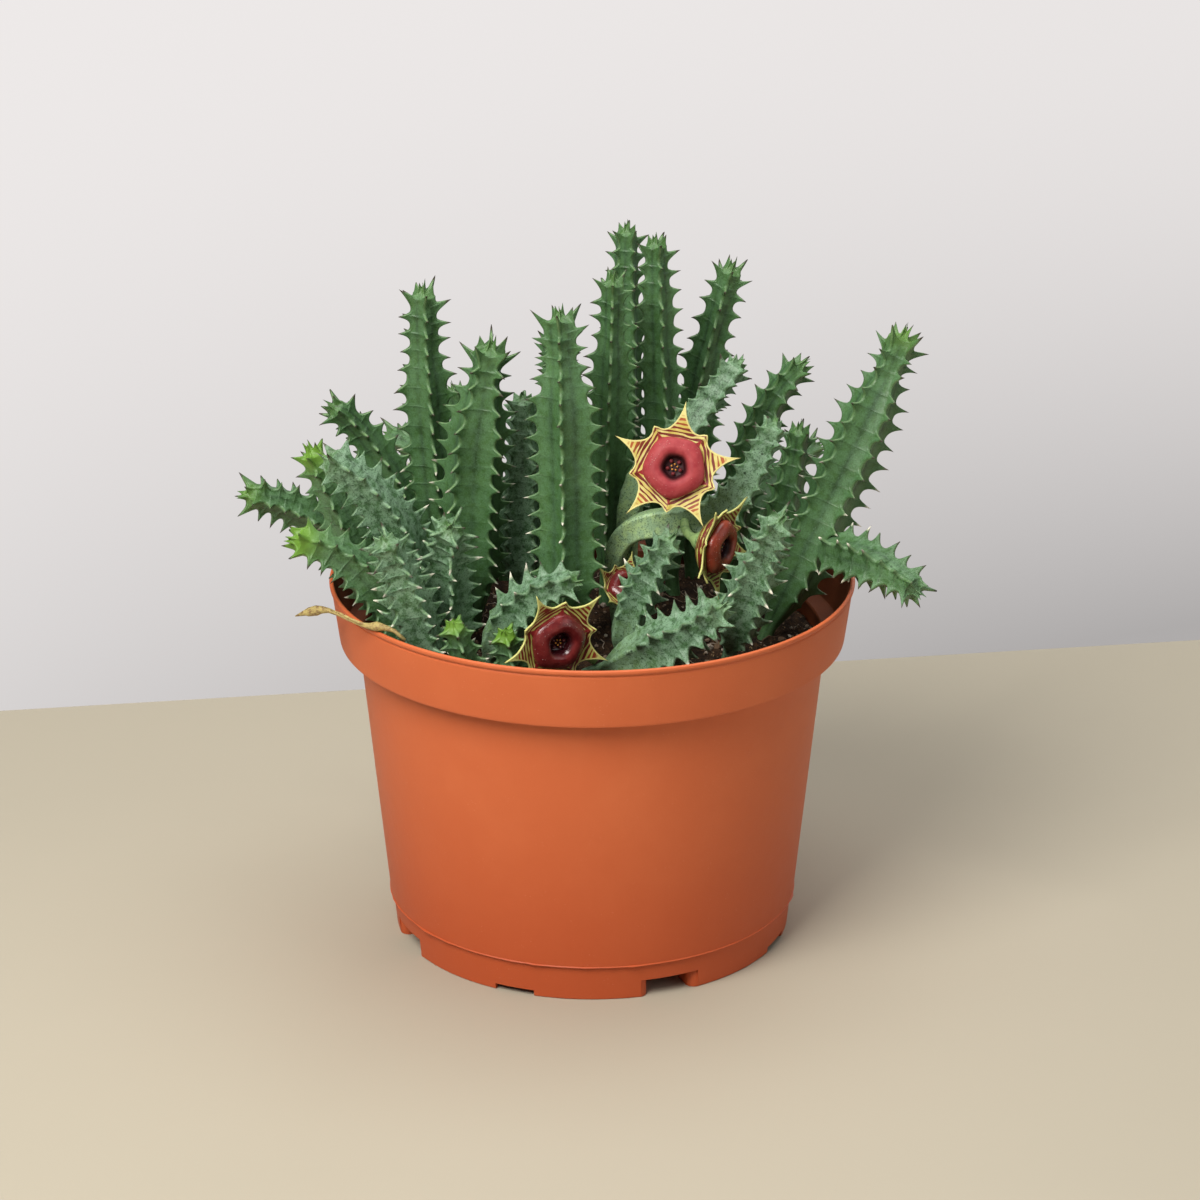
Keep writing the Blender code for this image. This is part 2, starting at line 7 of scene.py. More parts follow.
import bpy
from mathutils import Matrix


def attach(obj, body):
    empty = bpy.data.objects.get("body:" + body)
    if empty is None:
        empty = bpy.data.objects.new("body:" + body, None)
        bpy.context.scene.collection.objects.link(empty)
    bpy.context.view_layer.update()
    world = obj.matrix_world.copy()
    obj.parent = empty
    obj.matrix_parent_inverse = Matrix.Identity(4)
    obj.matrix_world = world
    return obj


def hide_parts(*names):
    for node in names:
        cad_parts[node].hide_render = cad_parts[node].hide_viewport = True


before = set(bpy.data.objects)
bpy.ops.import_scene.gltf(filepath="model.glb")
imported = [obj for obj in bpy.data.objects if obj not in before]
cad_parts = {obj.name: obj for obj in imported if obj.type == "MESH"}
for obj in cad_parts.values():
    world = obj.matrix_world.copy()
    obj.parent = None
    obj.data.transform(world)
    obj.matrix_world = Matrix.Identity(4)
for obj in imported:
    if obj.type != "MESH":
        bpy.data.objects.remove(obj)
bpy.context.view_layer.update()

import logging
import math
from dataclasses import dataclass, field
from enum import Enum
from typing import Sequence

import bpy
import numpy as np
from mathutils import Matrix, Vector, noise

MM = 0.001
LOG = logging.getLogger("potted_cactus")
Colour = tuple[float, float, float]
Point = tuple[float, float, float]


# The bench: small steps with Blender's own operators


def put_down() -> None:
    """Leaves object mode with nothing selected."""
    if bpy.context.mode != "OBJECT":
        bpy.ops.object.mode_set(mode="OBJECT")
    bpy.ops.object.select_all(action="DESELECT")


def take_up(*objects: bpy.types.Object) -> None:
    """Selects only these objects, with the first one active.

    Args:
        objects: The objects to work on next.
    """
    put_down()
    for obj in objects:
        obj.select_set(True)
    bpy.context.view_layer.objects.active = objects[0]


def added(name: str) -> bpy.types.Object:
    """Names the primitive that was just added, and returns it."""
    obj = bpy.context.object
    obj.name = obj.data.name = name
    return obj


def weld(obj: bpy.types.Object, gap: float = 0.002) -> None:
    """Merges points closer than a gap, turns the faces outwards and shades the mesh smooth.

    Args:
        obj: The mesh to close.
        gap: The distance to merge over, in millimetres.
    """
    take_up(obj)
    bpy.ops.object.mode_set(mode="EDIT")
    bpy.ops.mesh.select_all(action="SELECT")
    bpy.ops.mesh.remove_doubles(threshold=gap * MM)
    bpy.ops.mesh.normals_make_consistent(inside=False)
    bpy.ops.object.mode_set(mode="OBJECT")
    bpy.ops.object.shade_smooth()


def join(name: str, parts: Sequence[bpy.types.Object]) -> bpy.types.Object:
    """Joins parts into one object of that name, and returns it."""
    take_up(*parts)
    if len(parts) > 1:
        bpy.ops.object.join()
    return added(name)


def modify(obj: bpy.types.Object, kind: str, **settings: object) -> None:
    """Adds a modifier with these settings and applies it.

    Args:
        obj: The mesh to modify.
        kind: The modifier's type, such as "BEVEL".
        settings: Its properties by name.
    """
    take_up(obj)
    modifier = obj.modifiers.new(kind.lower(), kind)
    for key, value in settings.items():
        setattr(modifier, key, value)
    bpy.ops.object.modifier_apply(modifier=modifier.name)


def wrapped(name: str, points: np.ndarray, marks: dict[str, np.ndarray] | None = None) -> bpy.types.Object:
    """Lays a grid primitive over rows of points and closes it where rows or columns meet.

    Args:
        name: The new object's name.
        points: An array of rows by columns by three, in millimetres.
        marks: Named numbers for the material to read, each an array of rows by columns.

    Returns:
        The closed, smooth mesh.
    """
    rows, columns = points.shape[:2]
    put_down()
    bpy.ops.mesh.primitive_grid_add(x_subdivisions=columns - 1, y_subdivisions=rows - 1, size=1.0)
    obj = added(name)
    mesh = obj.data
    mesh.vertices.foreach_set("co", (points * MM).astype(np.float32).ravel())
    for key, values in (marks or {}).items():
        layer = mesh.attributes.new(key, "FLOAT", "POINT")
        layer.data.foreach_set("value", np.broadcast_to(values, (rows, columns)).astype(np.float32).ravel())
    weld(obj)
    return obj


def turned(name: str, profile: Sequence[tuple[float, float]], sides: int) -> bpy.types.Object:
    """Turns a profile about Z, by extruding a circle from one height to the next.

    Args:
        name: The new object's name.
        profile: (radius, height) pairs, each radius above zero.
        sides: How many sides the circle has.

    Returns:
        The turned mesh, with flat faces over its first and its last ring.
    """
    put_down()
    radius, height = profile[0]
    bpy.ops.mesh.primitive_circle_add(
        vertices=sides, radius=radius * MM, fill_type="NOTHING", location=(0, 0, height * MM)
    )
    obj = added(name)
    bpy.ops.object.transform_apply(location=True, rotation=True, scale=True)
    bpy.ops.object.mode_set(mode="EDIT")
    bpy.ops.mesh.select_all(action="SELECT")
    bpy.ops.mesh.edge_face_add()
    bpy.ops.mesh.select_mode(type="EDGE")
    for wide, high in profile[1:]:
        bpy.ops.mesh.extrude_region_move(TRANSFORM_OT_translate={"value": (0, 0, (high - height) * MM)})
        share = wide / radius
        bpy.ops.transform.resize(value=(share, share, 1), center_override=(0, 0, 0))
        radius, height = wide, high
    bpy.ops.object.mode_set(mode="OBJECT")
    return obj


def plate(name: str, outline: Sequence[tuple[float, float]], low: float, high: float) -> bpy.types.Object:
    """A flat-topped piece from an outline in plan.

    Args:
        name: The new object's name.
        outline: (x, y) pairs in order round the edge.
        low: The height of its underside.
        high: The height of its top.

    Returns:
        The closed mesh.
    """
    put_down()
    bpy.ops.mesh.primitive_circle_add(vertices=len(outline), radius=1, fill_type="NGON")
    obj = added(name)
    for vertex, (x, y) in zip(obj.data.vertices, outline):
        vertex.co = (x * MM, y * MM, low * MM)
    bpy.ops.object.mode_set(mode="EDIT")
    bpy.ops.mesh.select_all(action="SELECT")
    bpy.ops.mesh.extrude_region_move(TRANSFORM_OT_translate={"value": (0, 0, (high - low) * MM)})
    bpy.ops.mesh.select_all(action="SELECT")
    bpy.ops.mesh.normals_make_consistent(inside=False)
    bpy.ops.object.mode_set(mode="OBJECT")
    return obj


def block(name: str, low: Point, high: Point, turn: float) -> bpy.types.Object:
    """A box between two corners, then turned about Z by some degrees."""
    put_down()
    bpy.ops.mesh.primitive_cube_add(size=1)
    obj = added(name)
    size, middle = Vector(high) - Vector(low), (Vector(high) + Vector(low)) / 2
    place = Matrix.Rotation(math.radians(turn), 4, "Z") @ Matrix.Translation(middle * MM)
    obj.data.transform(place @ Matrix.Diagonal((*(size * MM), 1)))
    return obj


def smooth_step(low: float, high: float, value: np.ndarray | float) -> np.ndarray:
    """0 below low, 1 above high, and a smooth rise between."""
    share = np.clip((np.asarray(value, float) - low) / (high - low), 0, 1)
    return share * share * (3 - 2 * share)


def ripple(x: float, y: float, z: float, size: float, depth: int = 3) -> float:
    """Blender's own noise at a point, for a pattern of about that size, all in millimetres."""
    return noise.fractal(Vector((x, y, z)) / size, 0.6, 2.0, depth)


# Finishes


class Recipe:
    """Builds one material, node by node."""

    def __init__(self, name: str, **sockets: object) -> None:
        """Starts a material.

        Args:
            name: The material's name.
            sockets: Values for the Principled shader, with _ for the spaces in a socket's name.
        """
        self.material = bpy.data.materials.new(name)
        self.material.use_nodes = True
        self.tree = self.material.node_tree
        self.shader = self.tree.nodes["Principled BSDF"]
        for key, value in sockets.items():
            self.shader.inputs[key.replace("_", " ")].default_value = value
        self.place = self.node("ShaderNodeTexCoord").outputs["Object"]

    def node(self, kind: str, inputs: dict | None = None, **settings: object) -> bpy.types.Node:
        """Adds a node.

        Args:
            kind: The node's type.
            inputs: Its inputs by name or number, each a value or another node's output.
            settings: Its properties by name.

        Returns:
            The new node.
        """
        made = self.tree.nodes.new(kind)
        for key, value in settings.items():
            setattr(made, key, value)
        for key, value in (inputs or {}).items():
            if isinstance(value, bpy.types.NodeSocket):
                self.tree.links.new(value, made.inputs[key])
            else:
                made.inputs[key].default_value = value
        return made

    def noise(self, size: float, detail: float = 3, rough: float = 0.55, where: object = None) -> object:
        """A noise between 0 and 1 whose spots are about that many millimetres."""
        inputs = {"Vector": where or self.place, "Scale": 1 / (size * MM), "Detail": detail, "Roughness": rough}
        return self.node("ShaderNodeTexNoise", inputs).outputs["Fac"]

    def cells(self, size: float, where: object = None, output: str = "Distance") -> object:
        """The distance from the nearest of many scattered points, about that far apart."""
        inputs = {"Vector": where or self.place, "Scale": 1 / (size * MM)}
        return self.node("ShaderNodeTexVoronoi", inputs).outputs[output]

    def mark(self, name: str) -> object:
        """A number that the mesh carries under that name."""
        return self.node("ShaderNodeAttribute", attribute_name=name).outputs["Fac"]

    def fade(self, value: object, low: float, high: float) -> object:
        """A smooth rise from 0 to 1 as a value goes from low to high. It falls if low is larger."""
        first, last, start, end = (low, high, 0.0, 1.0) if low < high else (high, low, 1.0, 0.0)
        inputs = {0: value, 1: first, 2: last, 3: start, 4: end}
        return self.node("ShaderNodeMapRange", inputs, interpolation_type="SMOOTHSTEP").outputs[0]

    def sum(self, operation: str, first: object, second: object = 0.0, third: object = 0.0) -> object:
        """A sum on up to three numbers, such as "MULTIPLY"."""
        return self.node("ShaderNodeMath", {0: first, 1: second, 2: third}, operation=operation).outputs[0]

    def mix(self, share: object, first: object, second: object, blend: str = "MIX") -> object:
        """A mix of two colours. A plain colour is three numbers."""
        first, second = (value if isinstance(value, bpy.types.NodeSocket) else (*value, 1.0) for value in (first, second))
        made = self.node("ShaderNodeMix", {0: share, 6: first, 7: second}, data_type="RGBA", blend_type=blend)
        return made.outputs[2]

    def paint(self, colour: object, roughness: object = None) -> None:
        """Gives the shader its colour and its roughness."""
        self.tree.links.new(colour, self.shader.inputs["Base Color"])
        if roughness is not None:
            self.tree.links.new(roughness, self.shader.inputs["Roughness"])

    def raise_by(self, *heights: tuple[object, float]) -> None:
        """Adds bumps.

        Args:
            heights: Pairs of a value and how many millimetres it stands for.
        """
        last = None
        for height, depth in heights:
            inputs = {"Height": height, "Distance": depth * MM, "Strength": 1.0}
            if last is not None:
                inputs["Normal"] = last
            last = self.node("ShaderNodeBump", inputs).outputs["Normal"]
        self.tree.links.new(last, self.shader.inputs["Normal"])


@dataclass(frozen=True)
class PotPlastic:
    """Matte moulded plastic, a little uneven in colour, with a fine grain and pale dust specks, and painted shade:
    darker towards its foot, and dark brown over the inner side of the band.
    """

    name: str = "pot_plastic"
    colour: Colour = (0.56, 0.124, 0.040)
    worn: Colour = (0.61, 0.150, 0.052)
    dust: Colour = (0.75, 0.32, 0.18)
    foot: Colour = (0.43, 0.068, 0.018)
    inside_shade: Colour = (0.10, 0.030, 0.012)

    def made(self) -> bpy.types.Material:
        """The finished material."""
        r = Recipe(self.name, Roughness=0.5, Specular_IOR_Level=0.28)
        cloud = r.noise(22, 4)
        grain = r.noise(0.45, 2)
        specks = r.sum("MULTIPLY", r.fade(r.cells(1.1), 0.13, 0.05), r.fade(r.noise(9, 4, 0.7), 0.5, 0.62))
        colour = r.mix(r.sum("MULTIPLY", r.fade(cloud, 0.35, 0.75), 0.5), self.colour, self.worn)
        height = r.node("ShaderNodeSeparateXYZ", {0: r.place}).outputs["Z"]
        # Painted shade: the colour darkens from 70 mm down to the underside, where less light reaches the pot from
        # above.
        colour = r.mix(r.sum("MULTIPLY", r.fade(height, 0.070, 0.004), 0.75), colour, self.foot)
        colour = r.mix(r.sum("MULTIPLY", specks, 0.5), colour, self.dust)
        # Painted shade: the inner side of the band, marked by inside, is mixed towards a dark brown, as shade inside
        # the pot.
        colour = r.mix(r.sum("MULTIPLY", r.mark("inside"), 0.88), colour, self.inside_shade)
        r.paint(colour, r.node("ShaderNodeMapRange", {0: cloud, 3: 0.42, 4: 0.58}).outputs[0])
        r.raise_by((grain, 0.035), (r.noise(4.5, 3), 0.08))
        return r.material


@dataclass(frozen=True)
class Peat:
    """Dark crumbly compost."""

    name: str = "peat"
    dark: Colour = (0.018, 0.011, 0.007)
    brown: Colour = (0.065, 0.034, 0.017)
    straw: Colour = (0.28, 0.19, 0.10)

    def made(self) -> bpy.types.Material:
        """The finished material."""
        r = Recipe(self.name, Roughness=0.95, Specular_IOR_Level=0.15)
        clod = r.noise(3.2, 6, 0.7)
        colour = r.mix(r.fade(clod, 0.42, 0.68), self.dark, self.brown)
        colour = r.mix(r.fade(r.noise(0.9, 3, 0.7), 0.60, 0.72), colour, self.straw)
        r.paint(colour)
        r.raise_by((clod, 0.9), (r.noise(0.7, 3), 0.3))
        return r.material


@dataclass(frozen=True)
class Grit:
    """Loose grains, pale and brown by turns, and root fibres."""

    name: str = "grit"
    pale: Colour = (0.55, 0.50, 0.42)
    brown: Colour = (0.13, 0.075, 0.04)

    def made(self) -> bpy.types.Material:
        """The finished material."""
        r = Recipe(self.name, Roughness=0.9, Specular_IOR_Level=0.2)
        colour = r.mix(r.mark("tone"), self.brown, self.pale)
        colour = r.mix(r.sum("MULTIPLY", r.noise(0.6, 3), 0.5), colour, self.brown)
        r.paint(colour)
        r.raise_by((r.noise(0.4, 3), 0.08))
        return r.material


@dataclass(frozen=True)
class StemSkin:
    """Waxy succulent skin, with painted shade darkening its flanks towards the valleys between ribs. The mesh says
    where its crests, teeth, young tips and old parts are.
    """

    name: str
    flank: Colour
    valley_shade_and_specks: Colour
    lit: Colour
    bloom: Colour
    frost: float
    pits: float
    speckle: float
    rim_shows: float
    fresh: Colour = (0.125, 0.26, 0.028)
    pale_base: Colour = (0.46, 0.64, 0.29)
    margin: Colour = (0.26, 0.38, 0.17)
    dark_tip: Colour = (0.045, 0.035, 0.02)
    dry_tip: Colour = (0.78, 0.74, 0.60)

    def made(self) -> bpy.types.Material:
        """The finished material."""
        r = Recipe(self.name, Specular_IOR_Level=0.45)
        crest, tooth, young = r.mark("crest"), r.mark("tooth"), r.mark("young")
        fine, middling, broad = r.noise(0.45, 4, 0.7), r.noise(2.2, 5, 0.65), r.noise(13, 3)
        # Painted shade: the flanks darken towards the valleys between the ribs. The same dark colour also makes the
        # real dark specks and pits below.
        colour = r.mix(r.fade(crest, -0.15, 0.4), self.valley_shade_and_specks, self.flank)
        colour = r.mix(r.sum("MULTIPLY", r.fade(broad, 0.38, 0.68), 0.55), colour, self.lit)
        colour = r.mix(r.mark("smooth"), colour, self.pale_base)
        frosted = r.sum("MULTIPLY", r.fade(middling, 0.36, 0.58), self.frost)
        colour = r.mix(frosted, colour, self.bloom)
        colour = r.mix(r.sum("MULTIPLY", r.fade(fine, 0.50, 0.66), self.speckle), colour, self.valley_shade_and_specks)
        colour = r.mix(r.sum("MULTIPLY", r.fade(fine, 0.46, 0.32), 0.30), colour, self.bloom)
        spot = r.sum("MULTIPLY", r.fade(r.cells(2.6), 0.20, 0.10), r.fade(r.noise(6, 2), 0.48, 0.60))
        colour = r.mix(r.sum("MULTIPLY", spot, self.pits), colour, self.valley_shade_and_specks)
        toothed = r.sum("MULTIPLY_ADD", r.fade(tooth, 0.05, 0.5), 0.7, 0.3)
        rim = r.sum("MULTIPLY", r.sum("MULTIPLY", r.fade(r.mark("rim"), 0.5, 1.0), self.rim_shows), toothed)
        colour = r.mix(rim, colour, self.margin)
        colour = r.mix(r.fade(young, 0.1, 0.9), colour, self.fresh)
        tip = r.mix(r.fade(r.mark("dry"), 0.25, 0.6), self.dark_tip, self.dry_tip)
        colour = r.mix(r.fade(tooth, 0.55, 0.86), colour, tip)
        r.paint(colour, r.node("ShaderNodeMapRange", {0: middling, 3: 0.36, 4: 0.60}).outputs[0])
        r.raise_by((middling, 0.10 + 0.1 * self.frost), (fine, 0.04))
        return r.material


@dataclass(frozen=True)
class PetalSkin:
    """The star's yellow flesh, with broken stripes across its lobes, dark red inside and tan outside.

    The mesh says how far out a point is along its lobe, how far along the stripes, how far from
    the edge, all in millimetres, and where the ring's red runs into a short lobe.
    """

    name: str
    yellow: Colour
    cream: Colour
    stripe: Colour = (0.15, 0.016, 0.010)
    tan: Colour = (0.36, 0.085, 0.02)
    bold: float = 0.0

    def made(self) -> bpy.types.Material:
        """The finished material."""
        r = Recipe(self.name, Roughness=0.5, Specular_IOR_Level=0.35)
        reach, edge = r.mark("reach"), r.mark("edge")
        along = r.sum("MULTIPLY", r.mark("along"), 0.4)
        flow = r.node("ShaderNodeCombineXYZ", {0: reach, 1: along}).outputs[0]
        drift = r.node("ShaderNodeTexNoise", {"Vector": flow, "Scale": 0.33, "Detail": 2.0}).outputs["Fac"]
        breaks = r.node("ShaderNodeTexNoise", {"Vector": flow, "Scale": 0.62, "Detail": 1.0}).outputs["Fac"]
        bend = r.sum("MULTIPLY", r.sum("SUBTRACT", drift, 0.5), 7.0)
        wave = r.sum("SINE", r.sum("ADD", r.sum("MULTIPLY", reach, 5.2), bend))
        width = r.sum("MULTIPLY", r.sum("SUBTRACT", breaks, 0.47 - 0.05 * self.bold), 4.5)
        stripe = r.fade(r.sum("ADD", wave, width), 0.0, 0.35)
        stripe = r.sum("MULTIPLY", stripe, r.fade(reach, 15.2, 14.0))
        colour = r.mix(r.fade(r.noise(3, 3), 0.35, 0.7), self.yellow, self.cream)
        colour = r.mix(r.fade(reach, 14, 18), colour, self.cream)
        colour = r.mix(stripe, colour, r.mix(r.fade(reach, 10.6, 13.4), self.stripe, self.tan))
        colour = r.mix(r.fade(edge, 0.5, 0.28), colour, self.cream)
        colour = r.mix(r.fade(r.mark("corner"), 0.0, 0.18), colour, (0.30, 0.022, 0.024))
        r.paint(colour)
        r.raise_by((r.noise(0.4, 3), 0.03), (stripe, -0.02))
        return r.material


@dataclass(frozen=True)
class RingSkin:
    """The raised ring: fleshy red with fine pale bumps, nearly black in the pit."""

    name: str
    colour: Colour
    edge: Colour
    shine: float
    gloss: float
    pit: Colour = (0.030, 0.004, 0.006)
    bead: Colour = (0.72, 0.42, 0.36)
    gold: Colour = (0.62, 0.28, 0.05)

    def made(self) -> bpy.types.Material:
        """The finished material."""
        r = Recipe(self.name, Roughness=self.shine, Specular_IOR_Level=self.gloss)
        inward = r.mark("inward")
        colour = r.mix(r.fade(r.noise(2.5, 3), 0.3, 0.7), self.colour, self.edge)
        colour = r.mix(r.sum("MULTIPLY", r.fade(r.noise(0.45, 3, 0.7), 0.55, 0.75), 0.35), colour, self.edge)
        colour = r.mix(r.fade(inward, 0.66, 0.90), colour, self.pit)
        beads = r.sum("MULTIPLY", r.fade(r.cells(0.75), 0.26, 0.10), r.fade(inward, 0.45, 0.1))
        beads = r.sum("MULTIPLY", beads, r.fade(r.noise(1.6, 2), 0.48, 0.60))
        colour = r.mix(r.sum("MULTIPLY", beads, 0.45), colour, self.bead)
        colour = r.mix(r.mark("gold"), colour, self.gold)
        r.paint(colour)
        r.raise_by((beads, 0.10), (r.noise(0.35, 3), 0.06))
        return r.material


@dataclass(frozen=True)
class Stalk:
    """Plain plant flesh with a darker blush, for flower stalks and dry remains."""

    name: str
    colour: Colour
    blush: Colour

    def made(self) -> bpy.types.Material:
        """The finished material."""
        r = Recipe(self.name, Roughness=0.6, Specular_IOR_Level=0.35)
        r.paint(r.mix(r.fade(r.noise(1.6, 4, 0.7), 0.42, 0.66), self.colour, self.blush))
        r.raise_by((r.noise(0.6, 3), 0.12))
        return r.material


@dataclass(frozen=True)
class TableTop:
    """The plain pale surface that the pot stands on."""

    name: str = "table_top"
    colour: Colour = (0.420, 0.378, 0.293)
    shade: Colour = (0.405, 0.363, 0.280)

    def made(self) -> bpy.types.Material:
        """The finished material."""
        r = Recipe(self.name, Roughness=0.75, Specular_IOR_Level=0.25)
        r.paint(r.mix(r.noise(120, 3), self.colour, self.shade))
        return r.material


@dataclass(frozen=True)
class RibForm:
    """How a kind of stem carries its ribs and teeth. Lengths without a unit are shares of its girth."""

    valley: float
    bite_depth_mm: float
    bite_share: float
    saddle_mm: float
    half_pitch_mm: float
    up: float
    droop: float
    spread: float
    uneven: float
    hooked: float
    blunt: float
    dried: float


class Skin(Enum):
    """The skins that a stem can have, each with its record slot, its finish and its ribs."""

    GREEN = (
        "green_stem",
        StemSkin(
            "green_skin", (0.046, 0.118, 0.030), (0.008, 0.028, 0.005), (0.085, 0.185, 0.062),
            (0.14, 0.28, 0.16), 0.20, 0.3, 0.40, 0.5,
        ),
        RibForm(0.44, 4.8, 0.43, 0.6, 2.9, 0.0, 0.12, 1.0, 0.14, 1.0, 0.45, 1.0),
    )
    FROSTED = (
        "frosted_stem",
        StemSkin(
            "frosted_skin", (0.048, 0.120, 0.042), (0.010, 0.034, 0.009), (0.085, 0.185, 0.078),
            (0.23, 0.37, 0.24), 0.65, 0.9, 0.85, 0.35,
        ),
        RibForm(0.44, 5.4, 0.42, 0.55, 2.3, 0.34, 0.0, 1.17, 0.30, 0.0, 0.5, 1.6),
    )
    FRESH = (
        "fresh_stem",
        StemSkin(
            "fresh_skin", (0.044, 0.116, 0.030), (0.011, 0.038, 0.008), (0.080, 0.180, 0.058),
            (0.17, 0.31, 0.17), 0.35, 0.6, 0.55, 0.35,
        ),
        RibForm(0.47, 4.4, 0.42, 0.6, 2.6, 0.10, 0.05, 1.06, 0.18, 0.6, 0.5, 1.0),
    )


# The pot


@dataclass
class NurseryPot:
    """The round plastic pot, with its band, lip, ledge and feet."""

    height: float = 108.2
    rim_radius: float = 76.0
    wall: float = 1.4
    body_top: tuple[float, float] = (67.9, 90.4)
    band_foot_radius: float = 73.3
    ledge_height: float = 10.8
    body_foot_radius: float = 60.0
    skirt_radius: float = 59.3
    skirt_foot_radius: float = 58.2
    floor_thick: float = 1.6
    middle_radius: float = 44.0
    ring_underside: float = 5.6
    sides: int = 160
    foot_count: int = 4
    first_gap: float = -67.5
    gap_width: float = 12.5
    corner: float = 2.6
    foot_return: float = 8.0
    slot_width: float = 12.0
    slot_height: float = 1.9
    drain_radius: float = 3.5
    drain_ring: float = 52.0
    finish: PotPlastic = field(default_factory=PotPlastic)

    def inner_wall(self, height: float) -> float:
        """The radius of the body's inner wall at a height."""
        share = (height - self.ledge_height) / (self.body_top[1] - self.ledge_height)
        return self.body_foot_radius - self.wall + share * (self.body_top[0] - self.body_foot_radius)

    def profile(self) -> list[tuple[float, float]]:
        """The pot's section, from the middle of its underside round to the middle of its floor."""
        top, wide, under = self.height, self.rim_radius, self.ring_underside
        foot, step = self.band_foot_radius, self.body_top[1]
        band = (
            (self.body_top[0] + 0.2, step + 0.3), (self.body_top[0] + 0.6, step + 0.5), (foot - 0.7, step),
            (foot - 0.3, step), (foot - 0.1, step + 0.12), (foot, step + 0.4), (foot + 0.1, step + 1.0),
        )
        lip = (
            (wide - 0.72, top - 2.7), (wide - 0.7, top - 2.3), (wide - 0.85, top - 2.0), (wide - 0.8, top - 1.75),
            (wide - 0.35, top - 1.5), (wide - 0.08, top - 1.1), (wide, top - 0.7), (wide - 0.1, top - 0.3),
            (wide - 0.35, top - 0.08), (wide - 0.65, top), (wide - 1.0, top - 0.1), (wide - 1.3, top - 0.4),
            (wide - 1.45, top - 0.9),
        )
        inner_band = ((foot - 1.3, step + 2.5), (foot - 1.6, step + 1.9), (foot - 2.2, step + 1.6))
        return [
            (self.middle_radius, 0),
            (self.middle_radius + 0.3, 0.4),
            (self.middle_radius + 1, under),
            (self.skirt_radius - self.wall - 0.6, under),
            (self.skirt_foot_radius - self.wall, 0.2),
            (self.skirt_foot_radius - self.wall + 0.2, 0.0),
            (self.skirt_foot_radius - 0.3, 0.0),
            (self.skirt_foot_radius, 0.3),
            (self.skirt_radius - 0.05, self.ledge_height - 0.5),
            (self.skirt_radius, self.ledge_height - 0.15),
            (self.body_foot_radius + 0.1, self.ledge_height),
            (self.body_foot_radius + 0.2, self.ledge_height + 0.2),
            (self.body_foot_radius, self.ledge_height + 0.45),
            (self.body_foot_radius + 0.15, self.ledge_height + 2),
            (self.body_top[0] - 2.0, self.body_top[1] - 20),
            (self.body_top[0] - 0.1, self.body_top[1] - 1),
            *band,
            *lip,
            *inner_band,
            (self.inner_wall(step) + 0.4, step + 1.3),
            (self.inner_wall(step), step + 0.8),
            (self.inner_wall(70), 70),
            (self.inner_wall(8), 8),
            (self.inner_wall(7.2) - 0.8, 7.2),
            (self.middle_radius, 7.2),
            (self.middle_radius - 1.5, self.floor_thick),
            (self.middle_radius - 6, self.floor_thick),
        ]

    def shell(self) -> bpy.types.Object:
        """The turned shell, closed over its two middles, with a rough moulding line on its ledge."""
        obj = turned("pot_shell", self.profile(), self.sides)
        take_up(obj)
        bpy.ops.object.mode_set(mode="EDIT")
        bpy.ops.mesh.select_all(action="DESELECT")
        bpy.ops.mesh.select_non_manifold()
        bpy.ops.mesh.edge_face_add()
        bpy.ops.mesh.select_all(action="SELECT")
        bpy.ops.mesh.remove_doubles(threshold=0.001 * MM)
        bpy.ops.mesh.normals_make_consistent(inside=False)
        bpy.ops.object.mode_set(mode="OBJECT")
        for vertex in obj.data.vertices:
            x, y, z = (value / MM for value in vertex.co)
            if abs(z - self.ledge_height - 0.1) < 0.2 and math.hypot(x, y) > self.body_foot_radius:
                bead = max(0.0, ripple(x, y, 0, 5)) * 0.5
                vertex.co *= Vector((1 + bead / 60, 1 + bead / 60, 1))
        return obj

    def cutters(self) -> list[bpy.types.Object]:
        """What is cut from the skirt and the floor: the gaps, the slots and the drain holes."""
        made = []
        sector = 360 / self.foot_count
        for i in range(self.foot_count):
            gap = self.first_gap + sector * i
            half = self.gap_width / 2 + self.corner
            made.append(block(f"gap_{i}", (-half, -62, -1), (half, -54, self.ring_underside), gap))
            half = self.slot_width / 2
            slot = block(f"slot_{i}", (-half, -62, -1), (half, -54, self.slot_height), gap + sector / 2)
            made.append(slot)
            put_down()
            angle = math.radians(gap)
            bpy.ops.mesh.primitive_cylinder_add(
                vertices=32, radius=self.drain_radius * MM, depth=8 * MM,
                location=(self.drain_ring * math.sin(angle) * MM, -self.drain_ring * math.cos(angle) * MM, 6.5 * MM),
            )
            drain = added(f"drain_{i}")
            bpy.ops.object.transform_apply(location=True, rotation=True, scale=True)
            made.append(drain)
        return made

    def foot_end(self, name: str, gap: float, side: int) -> bpy.types.Object:
        """The rounded corner at one end of a foot, and the short wall that turns in behind it.

        Args:
            name: The new object's name.
            gap: The angle of the gap's middle, in degrees.
            side: 1 or -1, for the gap's two sides.

        Returns:
            The end, as a closed mesh.
        """
        outer, bend, wall = self.skirt_foot_radius, self.corner, self.wall
        face = self.gap_width / 2
        drop = outer - math.sqrt(outer**2 - (face + bend) ** 2)
        top = outer - drop
        arc = [math.radians(90 * i / 6) for i in range(7)]
        outline = [(face + bend - bend * math.sin(a), top - bend + bend * math.cos(a)) for a in arc]
        outline.append((face, top - self.foot_return))
        outline.append((face + wall, top - self.foot_return))
        small = bend - wall
        outline += [
            (face + bend - small * math.sin(a), top - bend + small * math.cos(a)) for a in reversed(arc)
        ]
        outline += [(face + bend + 1.0, top - wall - 0.2), (face + bend + 1.0, top - 0.25)]
        obj = plate(name, [(x * side, -y) for x, y in outline], 0, self.ring_underside + 0.3)
        obj.data.transform(Matrix.Rotation(math.radians(gap), 4, "Z"))
        return obj

